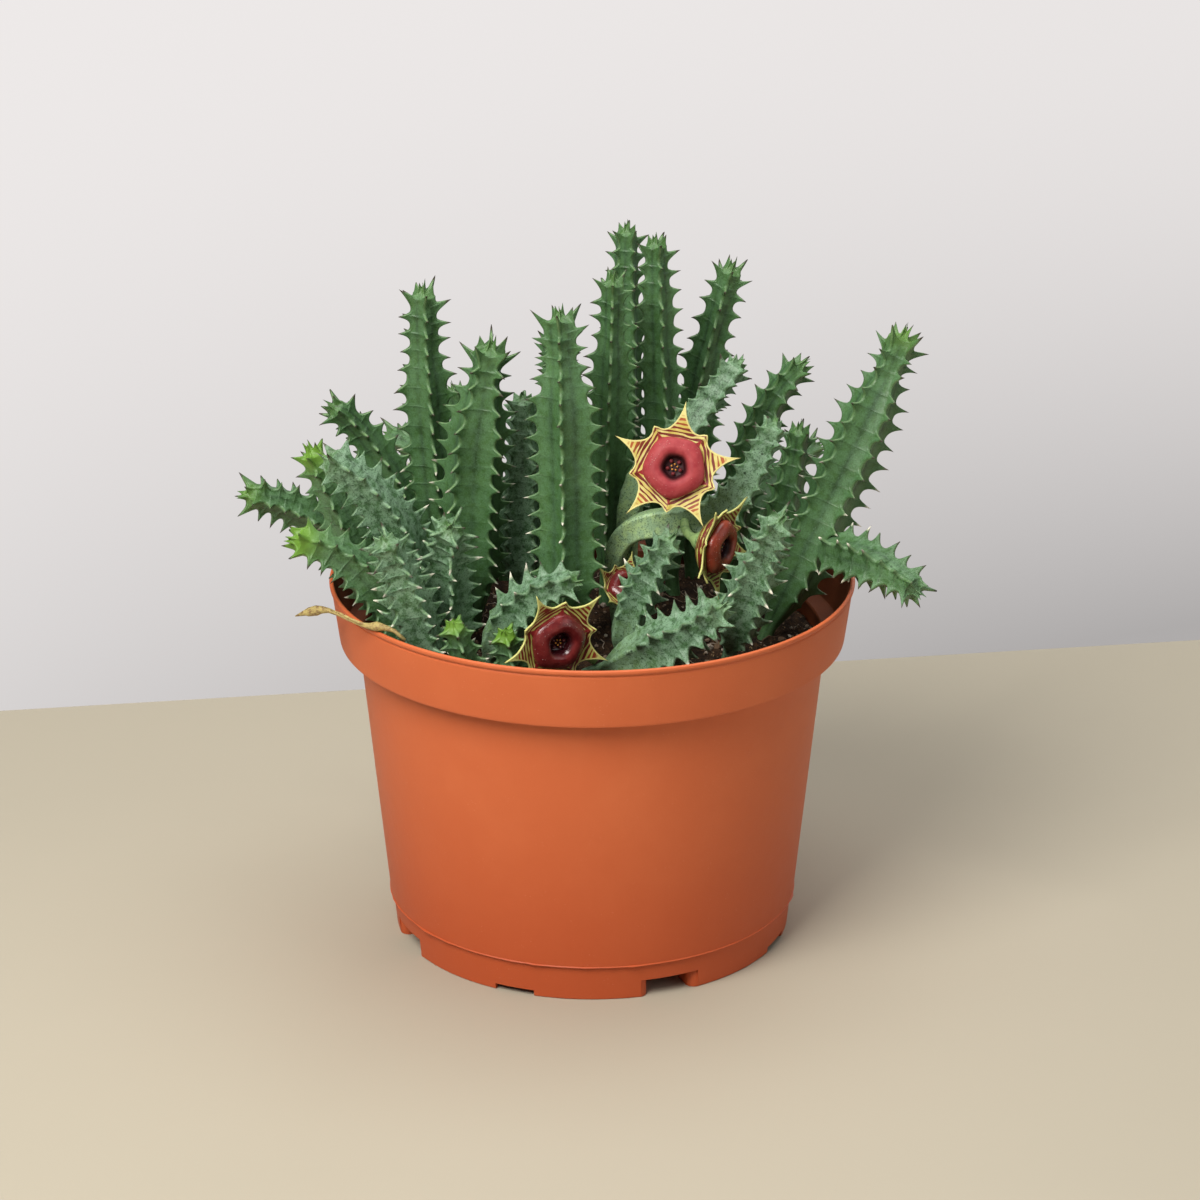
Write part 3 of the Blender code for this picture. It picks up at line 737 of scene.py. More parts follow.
    def mark_inside(self, pot: bpy.types.Object) -> None:
        """Marks the inner side of the band, where the material paints shade."""
        low, high = self.band_foot_radius, self.rim_radius - 0.7
        layer = pot.data.attributes.new("inside", "FLOAT", "POINT")
        for vertex, value in zip(pot.data.vertices, layer.data):
            x, y, z = (length / MM for length in vertex.co)
            share = (z - self.body_top[1]) / (self.height - 2.7 - self.body_top[1])
            value.value = float(share > 0.05 and math.hypot(x, y) < low + (high - low) * share - 0.9)

    def build(self) -> bpy.types.Object:
        """Makes the pot and dresses it."""
        pot = self.shell()
        cutters = self.cutters()
        tool = join("pot_cutter", cutters)
        modify(pot, "BOOLEAN", operation="DIFFERENCE", object=tool, solver="EXACT", use_self=True)
        bpy.data.objects.remove(tool)
        sector = 360 / self.foot_count
        ends = [
            self.foot_end(f"end_{i}_{side}", self.first_gap + sector * i, side)
            for i in range(self.foot_count)
            for side in (-1, 1)
        ]
        for end in ends:
            modify(end, "BEVEL", width=0.25 * MM, segments=2, limit_method="ANGLE", angle_limit=math.radians(50))
        pot = join("nursery_pot", [pot, *ends])
        self.mark_inside(pot)
        take_up(pot)
        bpy.ops.object.shade_smooth_by_angle(angle=math.radians(32))
        return dress(pot, self.finish.made(), "pot_plastic", "pot")


# The soil


@dataclass
class SoilBed:
    """The compost in the pot, with grit and root fibres on it."""

    pot: NurseryPot
    level: float = 91.0
    mound: float = 3.0
    edge_drop: float = 3.0
    gap: float = 0.75
    rings: int = 64
    columns: int = 200
    grain_count: int = 520
    fibre_count: int = 90
    seed: int = 11

    def height(self, x: float, y: float) -> float:
        """The height of the smooth surface, as the solid has it, where the stems leave it."""
        share = min(1.0, math.hypot(x, y) / self.pot.inner_wall(self.level))
        wave = 0.8 * math.sin(x * 0.21 + 1.0) * math.cos(y * 0.17)
        return self.level + self.mound * (1 - share**2) - self.edge_drop * share**4 + wave

    def crumbly(self, x: float, y: float) -> float:
        """The height of the surface with its crumbs."""
        rough = ripple(x, y, 0, 6.5, 4) * 1.3 + abs(ripple(x + 40, y, 3, 2.2, 3)) * 1.0
        return self.height(x, y) + rough - 0.3

    def bed(self) -> bpy.types.Object:
        """The soil's crumbly top and its plain sides and underside."""
        wall = self.pot.inner_wall(self.level - 6) - self.gap
        turns = np.linspace(0, 2 * math.pi, self.columns + 1)
        rows = []
        for share in np.linspace(0, 1, self.rings):
            radius = wall * share
            row = [(radius * math.sin(a), -radius * math.cos(a)) for a in turns[:-1]]
            row.append(row[0])
            rows.append([(x, y, self.crumbly(x, y)) for x, y in row])
        middle = self.pot.middle_radius
        floor = self.pot.floor_thick
        for radius, high in (
            (wall - 0.2, self.level - 14),
            (self.pot.inner_wall(7.5) - self.gap, 7.5),
            (middle - 1.5, 7.5),
            (middle - 2.5, floor + 0.4),
            (0.0, floor + 0.4),
        ):
            rows.append([(radius * math.sin(a), -radius * math.cos(a), high) for a in turns])
        points = np.array(rows)
        return wrapped("soil_bed", points)

    def grains(self) -> bpy.types.Object:
        """Loose grains: one rough lump is modelled, then copied, squashed and turned."""
        draw = np.random.default_rng(self.seed)
        put_down()
        bpy.ops.mesh.primitive_ico_sphere_add(subdivisions=1, radius=1)
        lump = added("grain")
        wall = self.pot.inner_wall(self.level) - 2.5
        copies = []
        for _ in range(self.grain_count):
            angle, share = draw.uniform(0, 2 * math.pi), math.sqrt(draw.uniform(0, 1))
            x, y = wall * share * math.sin(angle), -wall * share * math.cos(angle)
            size = draw.uniform(0.35, 0.9) * (1.8 if draw.uniform() < 0.12 else 1.0)
            mesh = lump.data.copy()
            squash = [size * draw.uniform(0.6, 1.2) for _ in range(3)]
            spin = Matrix.Rotation(draw.uniform(0, 6.3), 4, Vector(draw.normal(size=3)).normalized())
            place = Matrix.Translation((x, y, self.crumbly(x, y) + size * 0.35))
            mesh.transform(Matrix.Scale(MM, 4) @ place @ spin @ Matrix.Diagonal((*squash, 1)))
            tone = mesh.attributes.new("tone", "FLOAT", "POINT")
            pale = draw.uniform(0.55, 1.0) if draw.uniform() < 0.28 else draw.uniform(0.0, 0.3)
            tone.data.foreach_set("value", np.full(len(mesh.vertices), pale, np.float32))
            copy = bpy.data.objects.new("grain_copy", mesh)
            bpy.context.scene.collection.objects.link(copy)
            copies.append(copy)
        bpy.data.objects.remove(lump)
        return join("soil_grains", copies)

    def fibres(self) -> bpy.types.Object:
        """Thin root fibres that wander over the surface."""
        draw = np.random.default_rng(self.seed + 1)
        made = []
        wall = self.pot.inner_wall(self.level) - 5
        for i in range(self.fibre_count):
            angle, share = draw.uniform(0, 2 * math.pi), draw.uniform(0.35, 0.97)
            x, y = wall * share * math.sin(angle), -wall * share * math.cos(angle)
            heading, path = draw.uniform(0, 2 * math.pi), []
            steps = int(draw.integers(6, 12))
            for k in range(steps):
                arch = math.sin(math.pi * k / (steps - 1)) * draw.uniform(0.2, 1.2)
                path.append((x, y, self.crumbly(x, y) + 0.15 + arch))
                heading += draw.uniform(-0.7, 0.7)
                x, y = x + 1.5 * math.cos(heading), y + 1.5 * math.sin(heading)
                if math.hypot(x, y) > wall + 3:
                    break
            if len(path) > 3:
                thick = draw.uniform(0.10, 0.26)
                radii = [thick * (1 - 0.6 * k / len(path)) for k in range(len(path))]
                made.append(tube(f"fibre_{i}", path, radii, 5, {"tone": draw.uniform(0.1, 0.55)}))
        return join("root_fibres", made)

    def build(self) -> list[bpy.types.Object]:
        """Makes the soil and what lies on it, and dresses them."""
        grit = Grit().made()
        bed = dress(self.bed(), Peat().made(), "soil", "soil")
        return [bed, dress(self.grains(), grit, "soil"), dress(self.fibres(), grit, "soil")]


def tube(
    name: str, path: Sequence[Point], radii: Sequence[float], sides: int, marks: dict[str, float] | None = None
) -> bpy.types.Object:
    """A round tube along a path, closed at both ends.

    Args:
        name: The new object's name.
        path: The points that it passes through.
        radii: Its radius at each point.
        sides: How many sides it has.
        marks: Numbers for the material, the same all over the tube.

    Returns:
        The closed mesh.
    """
    points = [Vector(point) for point in path]
    rings = [[points[0]] * (sides + 1)]
    side = None
    for i, (centre, radius) in enumerate(zip(points, radii)):
        ahead = (points[min(i + 1, len(points) - 1)] - points[max(i - 1, 0)]).normalized()
        side = (side - ahead * side.dot(ahead)).normalized() if side else ahead.orthogonal().normalized()
        other = ahead.cross(side)
        turns = [2 * math.pi * k / sides for k in range(sides)] + [0.0]
        rings.append([centre + (side * math.cos(a) + other * math.sin(a)) * radius for a in turns])
    rings.append([points[-1]] * (sides + 1))
    grid = np.array([[tuple(point) for point in ring] for ring in rings])
    return wrapped(name, grid, {key: np.array([[value]]) for key, value in (marks or {}).items()})


def dress(
    obj: bpy.types.Object, material: bpy.types.Material, slot: str, *nodes: str
) -> bpy.types.Object:
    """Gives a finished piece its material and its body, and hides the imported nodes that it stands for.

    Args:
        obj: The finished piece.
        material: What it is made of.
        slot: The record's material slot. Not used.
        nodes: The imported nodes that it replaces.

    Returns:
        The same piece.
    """
    obj.data.materials.clear()
    obj.data.materials.append(material)
    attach(obj, "root")
    if nodes:
        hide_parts(*nodes)
    LOG.info("%s: %d faces", obj.name, len(obj.data.polygons))
    return obj


# The stems


@dataclass(frozen=True)
class Spine:
    """A stem's axis: a smooth arc through its root, middle and tip, and straight down below."""

    root: Point
    middle: Point
    tip: Point
    sway: Point = (0.0, 0.0, 0.0)
    steps: int = 241

    def curve(self) -> tuple[np.ndarray, np.ndarray]:
        """Points along the arc from its root to its tip, and the way ahead at each."""
        root, middle, tip, sway = (
            np.array(point, float) for point in (self.root, self.middle, self.tip, self.sway)
        )
        knee = 2 * middle - (root + tip) / 2
        t = np.linspace(0, 1, self.steps)[:, None]
        points = root * (1 - t) ** 2 + knee * 2 * t * (1 - t) + tip * t * t + sway * np.sin(2 * math.pi * t)
        slopes = (knee - root) * (1 - t) + (tip - knee) * t + sway * math.pi * np.cos(2 * math.pi * t)
        return points, slopes / np.linalg.norm(slopes, axis=1)[:, None]

    def frames(self, along: np.ndarray) -> tuple[np.ndarray, np.ndarray, np.ndarray, np.ndarray]:
        """The axis at some lengths along it.

        Args:
            along: The lengths, which may be below zero or past the tip.

        Returns:
            The points there, the way ahead, and the two ways across, the first towards the front.
        """
        points, slopes = self.curve()
        reach = np.concatenate([[0], np.cumsum(np.linalg.norm(np.diff(points, axis=0), axis=1))])
        inside = np.clip(along, 0, reach[-1])
        centre = np.stack([np.interp(inside, reach, points[:, k]) for k in range(3)], 1)
        ahead = np.stack([np.interp(inside, reach, slopes[:, k]) for k in range(3)], 1)
        ahead /= np.linalg.norm(ahead, axis=1)[:, None]
        centre = centre + ahead * (along - inside)[:, None]
        rises = slopes[0]
        front = np.array([0.0, -1.0, 0.0])
        front = front - rises * front.dot(rises)
        front /= np.linalg.norm(front)
        axis = np.cross(rises, ahead)
        spin = np.cross(axis, front)
        across = front + spin + np.cross(axis, spin) / (1 + ahead @ rises)[:, None]
        return centre, ahead, across, np.cross(ahead, across)

    @property
    def length(self) -> float:
        """The arc's length."""
        return float(np.linalg.norm(np.diff(self.curve()[0], axis=0), axis=1).sum())


@dataclass(frozen=True)
class Stem:
    """One stem: where its axis leaves the soil, passes halfway and ends, and how it grows."""

    name: str
    root: tuple
    middle: Point
    tip: Point
    girth: float
    turn: float = 0.0
    waist: float = 0.0
    skin: Skin = Skin.GREEN
    foot: float = 0.22
    ribs: int = 5
    sway: Point = (0.0, 0.0, 0.0)
    bright: float = 0.25
    pitch: float = 0.0
    smooth: float = 0.0
    pale: float = 0.2
    old: float = 1.0
    lift: float = 0.85


@dataclass
class StemMaker:
    """Shapes toothed, ribbed stems. Sizes without a unit are shares of a stem's girth."""

    bed: SoilBed
    shoulder_reach: float = 32.0
    shoulder_drop: float = 0.22
    crown_taper: float = 0.27
    plain: float = 0.62
    root_radius: float = 3.4
    root_depth: float = 5.0
    crown_drop: float = 3.2
    crown_rise: float = 1.1
    tip_half_pitch: float = 2.2
    pitch_grows_over: float = 10.0
    plain_share: float = 0.15
    waist_length: float = 5.0
    waist_depth: float = 0.18
    steps: tuple[float, ...] = (0.0, 0.05, 0.14, 0.30, 0.52, 0.74, 0.87, 0.95)
    columns: tuple[float, ...] = (-1, -0.6, -0.32, -0.15, -0.045, 0, 0.045, 0.15, 0.32, 0.6)
    seed: int = 5

    def girth(self, stem: Stem, along: np.ndarray, length: float) -> np.ndarray:
        """The radius over the teeth, as the solid has it."""
        foot = smooth_step(-0.06, stem.foot, np.maximum(0.0, along) / length)
        below, reach = length - along, min(self.shoulder_reach, 0.5 * length)
        shoulder = 1 - self.shoulder_drop * (1 - smooth_step(0.25 * reach, reach, below))
        crown = 1 - self.crown_taper * (1 - smooth_step(0, 0.16 * reach, below))
        pinch = 0.0
        if stem.waist:
            pinch = self.waist_depth * np.exp(-(((along - stem.waist * length) / self.waist_length) ** 2))
        return np.maximum(self.root_radius, stem.girth * foot * shoulder * crown * (1 - pinch))

    def rows(
        self, stem: Stem, length: float, draw: np.random.Generator
    ) -> tuple[np.ndarray, np.ndarray, np.ndarray]:
        """Where a stem's rings lie.

        Args:
            stem: The stem.
            length: The length of its axis.
            draw: Where its small differences come from.

        Returns:
            The lengths along the axis from the apex down, the half teeth counted from the
            apex, and how far each ring is shrunk to close the apex.
        """
        body = stem.pitch / 2 or stem.skin.value[2].half_pitch_mm
        top = length - self.crown_drop
        along, count, shrink = [], [], []
        for late in np.arange(-2.5, -0.05, 0.125):
            along.append(top - late * self.crown_rise)
            count.append(late)
            shrink.append(float(np.interp(late, (-2.5, -2, -1, 0), (0, 0.2, 0.52, 1))))
        place, tooth = top, 0
        while place > self.plain_share * 0.6 * length:
            grown = min(1.0, (top - place) / self.pitch_grows_over)
            half = self.tip_half_pitch + (body - self.tip_half_pitch) * grown
            half *= draw.uniform(0.82, 1.18)
            for step in self.steps:
                along.append(place - half * step)
                count.append(tooth + step)
                shrink.append(1.0)
            place, tooth = place - half, tooth + 1
        while place > -self.root_depth:
            along.append(place)
            count.append(tooth)
            shrink.append(1.0)
            place -= 2.0
        along += [-self.root_depth, -self.root_depth]
        count += [tooth, tooth]
        shrink += [1.0, 0.0]
        return np.array(along), np.array(count), np.array(shrink)

    def grow(self, stem: Stem, base: float, number: int) -> bpy.types.Object:
        """Shapes one stem.

        Args:
            stem: The stem.
            base: The height at which its axis starts.
            number: Its place in the clump, which seeds its small differences.

        Returns:
            Its closed mesh.
        """
        draw = np.random.default_rng(self.seed + number)
        spine = Spine((*stem.root, base), stem.middle, stem.tip, stem.sway)
        length = spine.length
        along, count, shrink = self.rows(stem, length, draw)
        centre, ahead, front, side = spine.frames(along)
        girth = self.girth(stem, along, length) * (1 + 0.02 * np.sin(along * 0.31 + number))
        girth = np.where(along < 1.0, self.root_radius, girth)
        share = along / length
        ribbed = smooth_step(0.02, self.plain_share, share)[:, None]
        starts = stem.smooth or self.plain_share
        toothed = smooth_step(starts * 0.6, starts * 1.4, share)[:, None]
        crown = smooth_step(length - 9, length - 2.5, along)[:, None]

        per_rib = len(self.columns)
        rib = np.repeat(np.arange(stem.ribs), per_rib)
        rib, w = np.append(rib, 0), np.append(np.tile(self.columns, stem.ribs), self.columns[0])
        near = np.abs(w)[None, :]
        phase = np.mod(count[:, None] / 2 + 0.5 * (rib % 2)[None, :], 1.0)
        which = np.floor(count[:, None] / 2 + 0.5 * (rib % 2)[None, :] + 0.5).astype(int) + 3
        form = stem.skin.value[2]
        tooth_count = (which.max() + 2, stem.ribs)
        jitter = draw.uniform(1 - 1.5 * form.uneven, 1 + 0.5 * form.uneven, tooth_count)[which, rib[None, :]]
        nod = draw.uniform(-form.uneven, form.uneven, tooth_count)[which, rib[None, :]]
        slant = draw.uniform(-form.uneven, form.uneven, tooth_count)[which, rib[None, :]]
        hooked = 1 - (1 - (1 - phase) ** 4.2) * (1 - phase**17)
        bite = hooked * form.hooked + np.abs(2 * phase - 1) ** 2.3 * (1 - form.hooked)
        upper = 1 - smooth_step(6, 28, length - along)[:, None]
        notch = 1 - np.minimum(form.bite_share, form.bite_depth_mm / girth)[:, None] - 0.12 * upper
        g = girth[:, None] * shrink[:, None] * (1 + (form.spread - 1) * toothed)
        sector = math.pi / stem.ribs
        valley_x, valley_y = form.valley * math.cos(sector), form.valley * math.sin(sector)
        edge = notch + (1 - notch) * bite * jitter * toothed
        star_x = valley_x + (edge - valley_x) * (1 - near)
        taper = np.clip((1 - star_x) / (1 - valley_x), 0, 1)
        saddle = (1 - notch) / (1 - valley_x)
        half_wide = form.saddle_mm / girth[:, None]
        thin = half_wide * np.minimum(1, taper / saddle) ** form.blunt
        broad = (valley_y - half_wide) * np.clip((taper - saddle) / (1 - saddle), 0, 1) ** 1.1
        star_y = (thin + broad) * (near > 0)
        star_x = star_x + 0.02 * (near == 0) * (1 - bite)
        angle = sector * w[None, :]
        round_x, round_y = self.plain * np.cos(angle), self.plain * np.sin(angle)
        rise = np.clip((star_x - notch) / (1 - notch), 0, 1) * toothed
        x = g * (round_x + (star_x - round_x) * ribbed)
        y = g * (round_y + (star_y * np.sign(w)[None, :] - round_y) * ribbed)
        tooth_long = girth[:, None] * (1 - notch)
        y = y + tooth_long * rise**2 * slant
        droop = form.droop * smooth_step(10, 40, length - along)[:, None]
        lean = tooth_long * rise * (stem.lift * crown + form.up * (1 - crown) - droop + nod * rise)
        turn = np.radians(stem.turn + draw.uniform(-14, 14) * (share[:, None] - 0.5) + 360 / stem.ribs * rib[None, :])
        cos, sin = np.cos(turn)[..., None], np.sin(turn)[..., None]
        out = front[:, None, :] * cos + side[:, None, :] * sin
        over = side[:, None, :] * cos - front[:, None, :] * sin
        points = centre[:, None, :] + out * x[..., None] + over * y[..., None] + ahead[:, None, :] * lean[..., None]

        down, fresh_reach = np.clip(1 - share, 0, 1)[:, None], min(5.5, 0.1 * length)
        marks = {
            "crest": np.clip(1 - near + 0 * g, 0, 1),
            "rim": (1 - smooth_step(0.0, 0.1, near)) * toothed + 0 * g,
            "tooth": np.clip(rise, 0, 1),
            "young": np.exp(-(length - self.crown_drop - along[:, None]) / fresh_reach) * stem.bright * (1 - 0.5 * rise),
            "dry": np.clip((down * 1.2 - 0.15) * stem.old * form.dried * jitter, 0, 1),
            "smooth": (1 - toothed) * (stem.pale if stem.smooth else 0.0) * smooth_step(0, 0.1, share)[:, None] + 0 * near,
        }
        return wrapped(stem.name, points, marks)


G, F, Y = Skin.GREEN, Skin.FROSTED, Skin.FRESH

STEMS = (
    Stem("stem_tall_left", (-42, 12), (-47, 10, 146), (-48, 6, 193), 10.5, 12, 0.8),
    Stem("stem_broad_left", (-34, -5), (-34, -8, 138), (-28, -12, 182), 13.0, 38, 0.88),
    Stem("stem_far_left", (-47, 34), (-61, 31, 130), (-77, 23, 152), 9.5, 20),
    Stem("stem_left_high", (-46, -8), (-57, -18, 131), (-76, -21, 151), 10.0, 30, 0, F, 0.4, 4),
    Stem("stem_left_bright", (-57, 3), (-70, -1, 122), (-81, -5, 149), 8.5, 0, 0, Y, bright=0.9),
    Stem("stem_leftmost", (-55, 19), (-77, 13, 118), (-101, 1, 132), 9.5, 14, 0, Y, 0.8, bright=0.4),
    Stem("stem_left_low", (-50, -23), (-64, -28, 118), (-85, -33, 131), 10.0, 40, 0, Y, 0.12, bright=1.0),
    Stem("stem_front_left", (-45, -38), (-51, -42, 115), (-58, -47, 137), 9.0, 36, 0, F),
    Stem("offset_left", (-34, -47), (-36, -50, 103), (-39, -54, 115), 7.2, 10, 0, Y, 0.22, bright=0.6, lift=0.2),
    Stem("stem_stub", (-39, -24), (-41, -29, 120), (-39, -38, 137), 9.5, 10, 0, F, old=1.6),
    Stem("stem_front_leaning", (-30, -31), (-19, -37, 113), (-3, -41, 121), 8.5, 20, 0, F, smooth=0.36),
    Stem("offset_front", (-22, -43), (-23, -46, 101), (-24.5, -51, 111), 6.8, 10, 0, Y, 0.22, bright=0.8, lift=0.3),
    Stem("stem_centre", (-7, -21), (-7, -21, 140), (-9, -18, 193), 12.5, -8, 0.86),
    Stem("stem_behind_broad", (-21, 10), (-20, 10, 125), (-20, 10, 160), 8.5, 30, 0, F),
    Stem("stem_inner_tall", (4, 12), (5, 8, 145), (6, 1, 198), 9.0, -4, 0.82, G, 0.34),
    Stem("stem_back_tall", (10, 34), (9.5, 34, 147), (10, 32, 204), 8.5, 30, 0.8),
    Stem("stem_mid_tall", (24, 22), (20, 19, 148), (18, 15, 205), 9.0, 14, 0.72),
    Stem("stem_back_right", (30, 42), (31, 39, 143), (41, 33, 192), 9.5, -10, 0.76),
    Stem(
        "stem_arm_high", (14, 1), (16.8, -0.5, 142), (43, 4, 172), 7.4, 30, 0, F, 0.45, 4, (-2, 0, 4),
        smooth=0.55, pale=0.9,
    ),
    Stem("stem_right_back", (38, 26), (47, 21, 141), (62, 18, 167), 9.0, 24),
    Stem(
        "stem_arm_low", (8, -7), (21.5, -12.5, 128.5), (52, -13, 160), 8.0, 24, 0, F, 0.45, 4, (-5, 0, 9),
        smooth=0.6, pale=0.9,
    ),
    Stem("stem_right_shade", (48, 12), (56, 13, 124), (60, 12, 150), 8.5, 20),
    Stem("stem_right_tall", (50, -6), (71, -4, 139), (89, 2, 181), 12.0, 22, 0.86, bright=0.45),
    Stem("stem_right_front", (38, -31), (46, -39, 124), (53, -45, 142), 8.5, 30, 0, F, 0.3),
    Stem("stem_front_middle", (8, -30), (13, -34, 114), (23, -38, 134), 8.0, 20, 0, F, smooth=0.38),
    Stem("stem_front_low", (0.5, -39.5), (20, -49.5, 106), (37, -53.5, 119), 10.5, 34, 0, F, 0.34, smooth=0.42),
    Stem("stem_rear_left", (-26, 38), (-32, 43, 122), (-42, 50, 149), 9.5, 10),
    Stem("stem_rear_middle", (-6, 52), (-9, 60, 128), (-12, 72, 160), 9.5, 30),
    Stem("stem_rear_right", (18, 55), (26, 64, 122), (38, 81, 146), 9.0, 0, 0, F),
    Stem("stem_rear_outer", (42, 41), (52, 46, 116), (69, 58, 128), 8.5, 16),
    Stem("stem_rear_upright", (-8, 24), (-8, 26, 136), (-10, 28, 177), 8.5, 0, 0.78),
    Stem("stem_rear_low", (-35, 46), (-46, 55, 119), (-63, 70, 127), 8.5, 34, 0, Y, bright=0.3),
)
SIDE_SHOOT_HOST = "stem_right_tall"
SIDE_SHOOT = Stem("side_shoot", (64, -8), (80, -25, 120), (92, -38, 116), 9.5, 20, 0, Y, bright=0.1)
SIDE_SHOOT_START = 119.0


@dataclass
class Clump:
    """Every stem of the plant."""

    bed: SoilBed
    stems: tuple[Stem, ...] = STEMS

    def build(self) -> list[bpy.types.Object]:
        """Grows the stems and dresses them."""
        maker = StemMaker(self.bed)
        skins = {skin: skin.value[1].made() for skin in Skin}
        made = []
        for number, stem in enumerate(self.stems):
            obj = maker.grow(stem, self.bed.height(*stem.root), number)
            made.append(dress(obj, skins[stem.skin], stem.skin.value[0], stem.name))
        shoot = maker.grow(SIDE_SHOOT, SIDE_SHOOT_START, len(self.stems))
        made.append(dress(shoot, skins[SIDE_SHOOT.skin], SIDE_SHOOT.skin.value[0], SIDE_SHOOT_HOST))
        return made


# The flowers


class RingTone(Enum):
    """How dark and how glossy a flower's ring is."""

    ROSE = RingSkin("ring_rose", (0.29, 0.027, 0.033), (0.37, 0.050, 0.053), 0.55, 0.3)
    WINE = RingSkin("ring_wine", (0.100, 0.009, 0.010), (0.17, 0.022, 0.020), 0.16, 0.5)
    BRICK = RingSkin("ring_brick", (0.20, 0.024, 0.012), (0.31, 0.05, 0.025), 0.25, 0.5)


class PetalTone(Enum):
    """The ground colour of a star, from cream yellow to olive."""

    CREAM = PetalSkin("petal_cream", (0.54, 0.42, 0.085), (0.64, 0.57, 0.21))
    OLIVE = PetalSkin("petal_olive", (0.42, 0.42, 0.09), (0.56, 0.55, 0.18), tan=(0.22, 0.03, 0.012), bold=1.0)


@dataclass(frozen=True)
class Flower:
    """One flower: its centre, the way it faces, and the stem that carries it, and where."""

    name: str
    centre: Point
    facing: Point
    spin: float
    host: str
    leaves_at: Point
    size: float = 1.0
    cupped: float = 10.0
    tone: RingTone = RingTone.ROSE
    ground: PetalTone = PetalTone.CREAM


FLOWERS = (
    Flower("flower_high", (23, -27, 150), (-0.05, -0.93, 0.36), 9, "stem_arm_high", (21, -1, 149)),
    Flower(
        "flower_side", (35, -28, 127), (0.87, -0.49, -0.09), 40, "stem_arm_low", (27, -12, 131), 0.9, 25,
        RingTone.BRICK, PetalTone.OLIVE,
    ),
    Flower(
        "flower_deep", (10, -21, 111.5), (0.2, -0.6, 0.77), 18, "stem_front_middle", (9, -31, 97), 0.65, 50,
        RingTone.WINE, PetalTone.OLIVE,
    ),
    Flower(
        "flower_front", (-10, -55, 109), (0.48, -0.87, -0.04), 46, "stem_front_low", (1, -40, 97), 0.95, 20,
        RingTone.WINE, PetalTone.OLIVE,
    ),
)


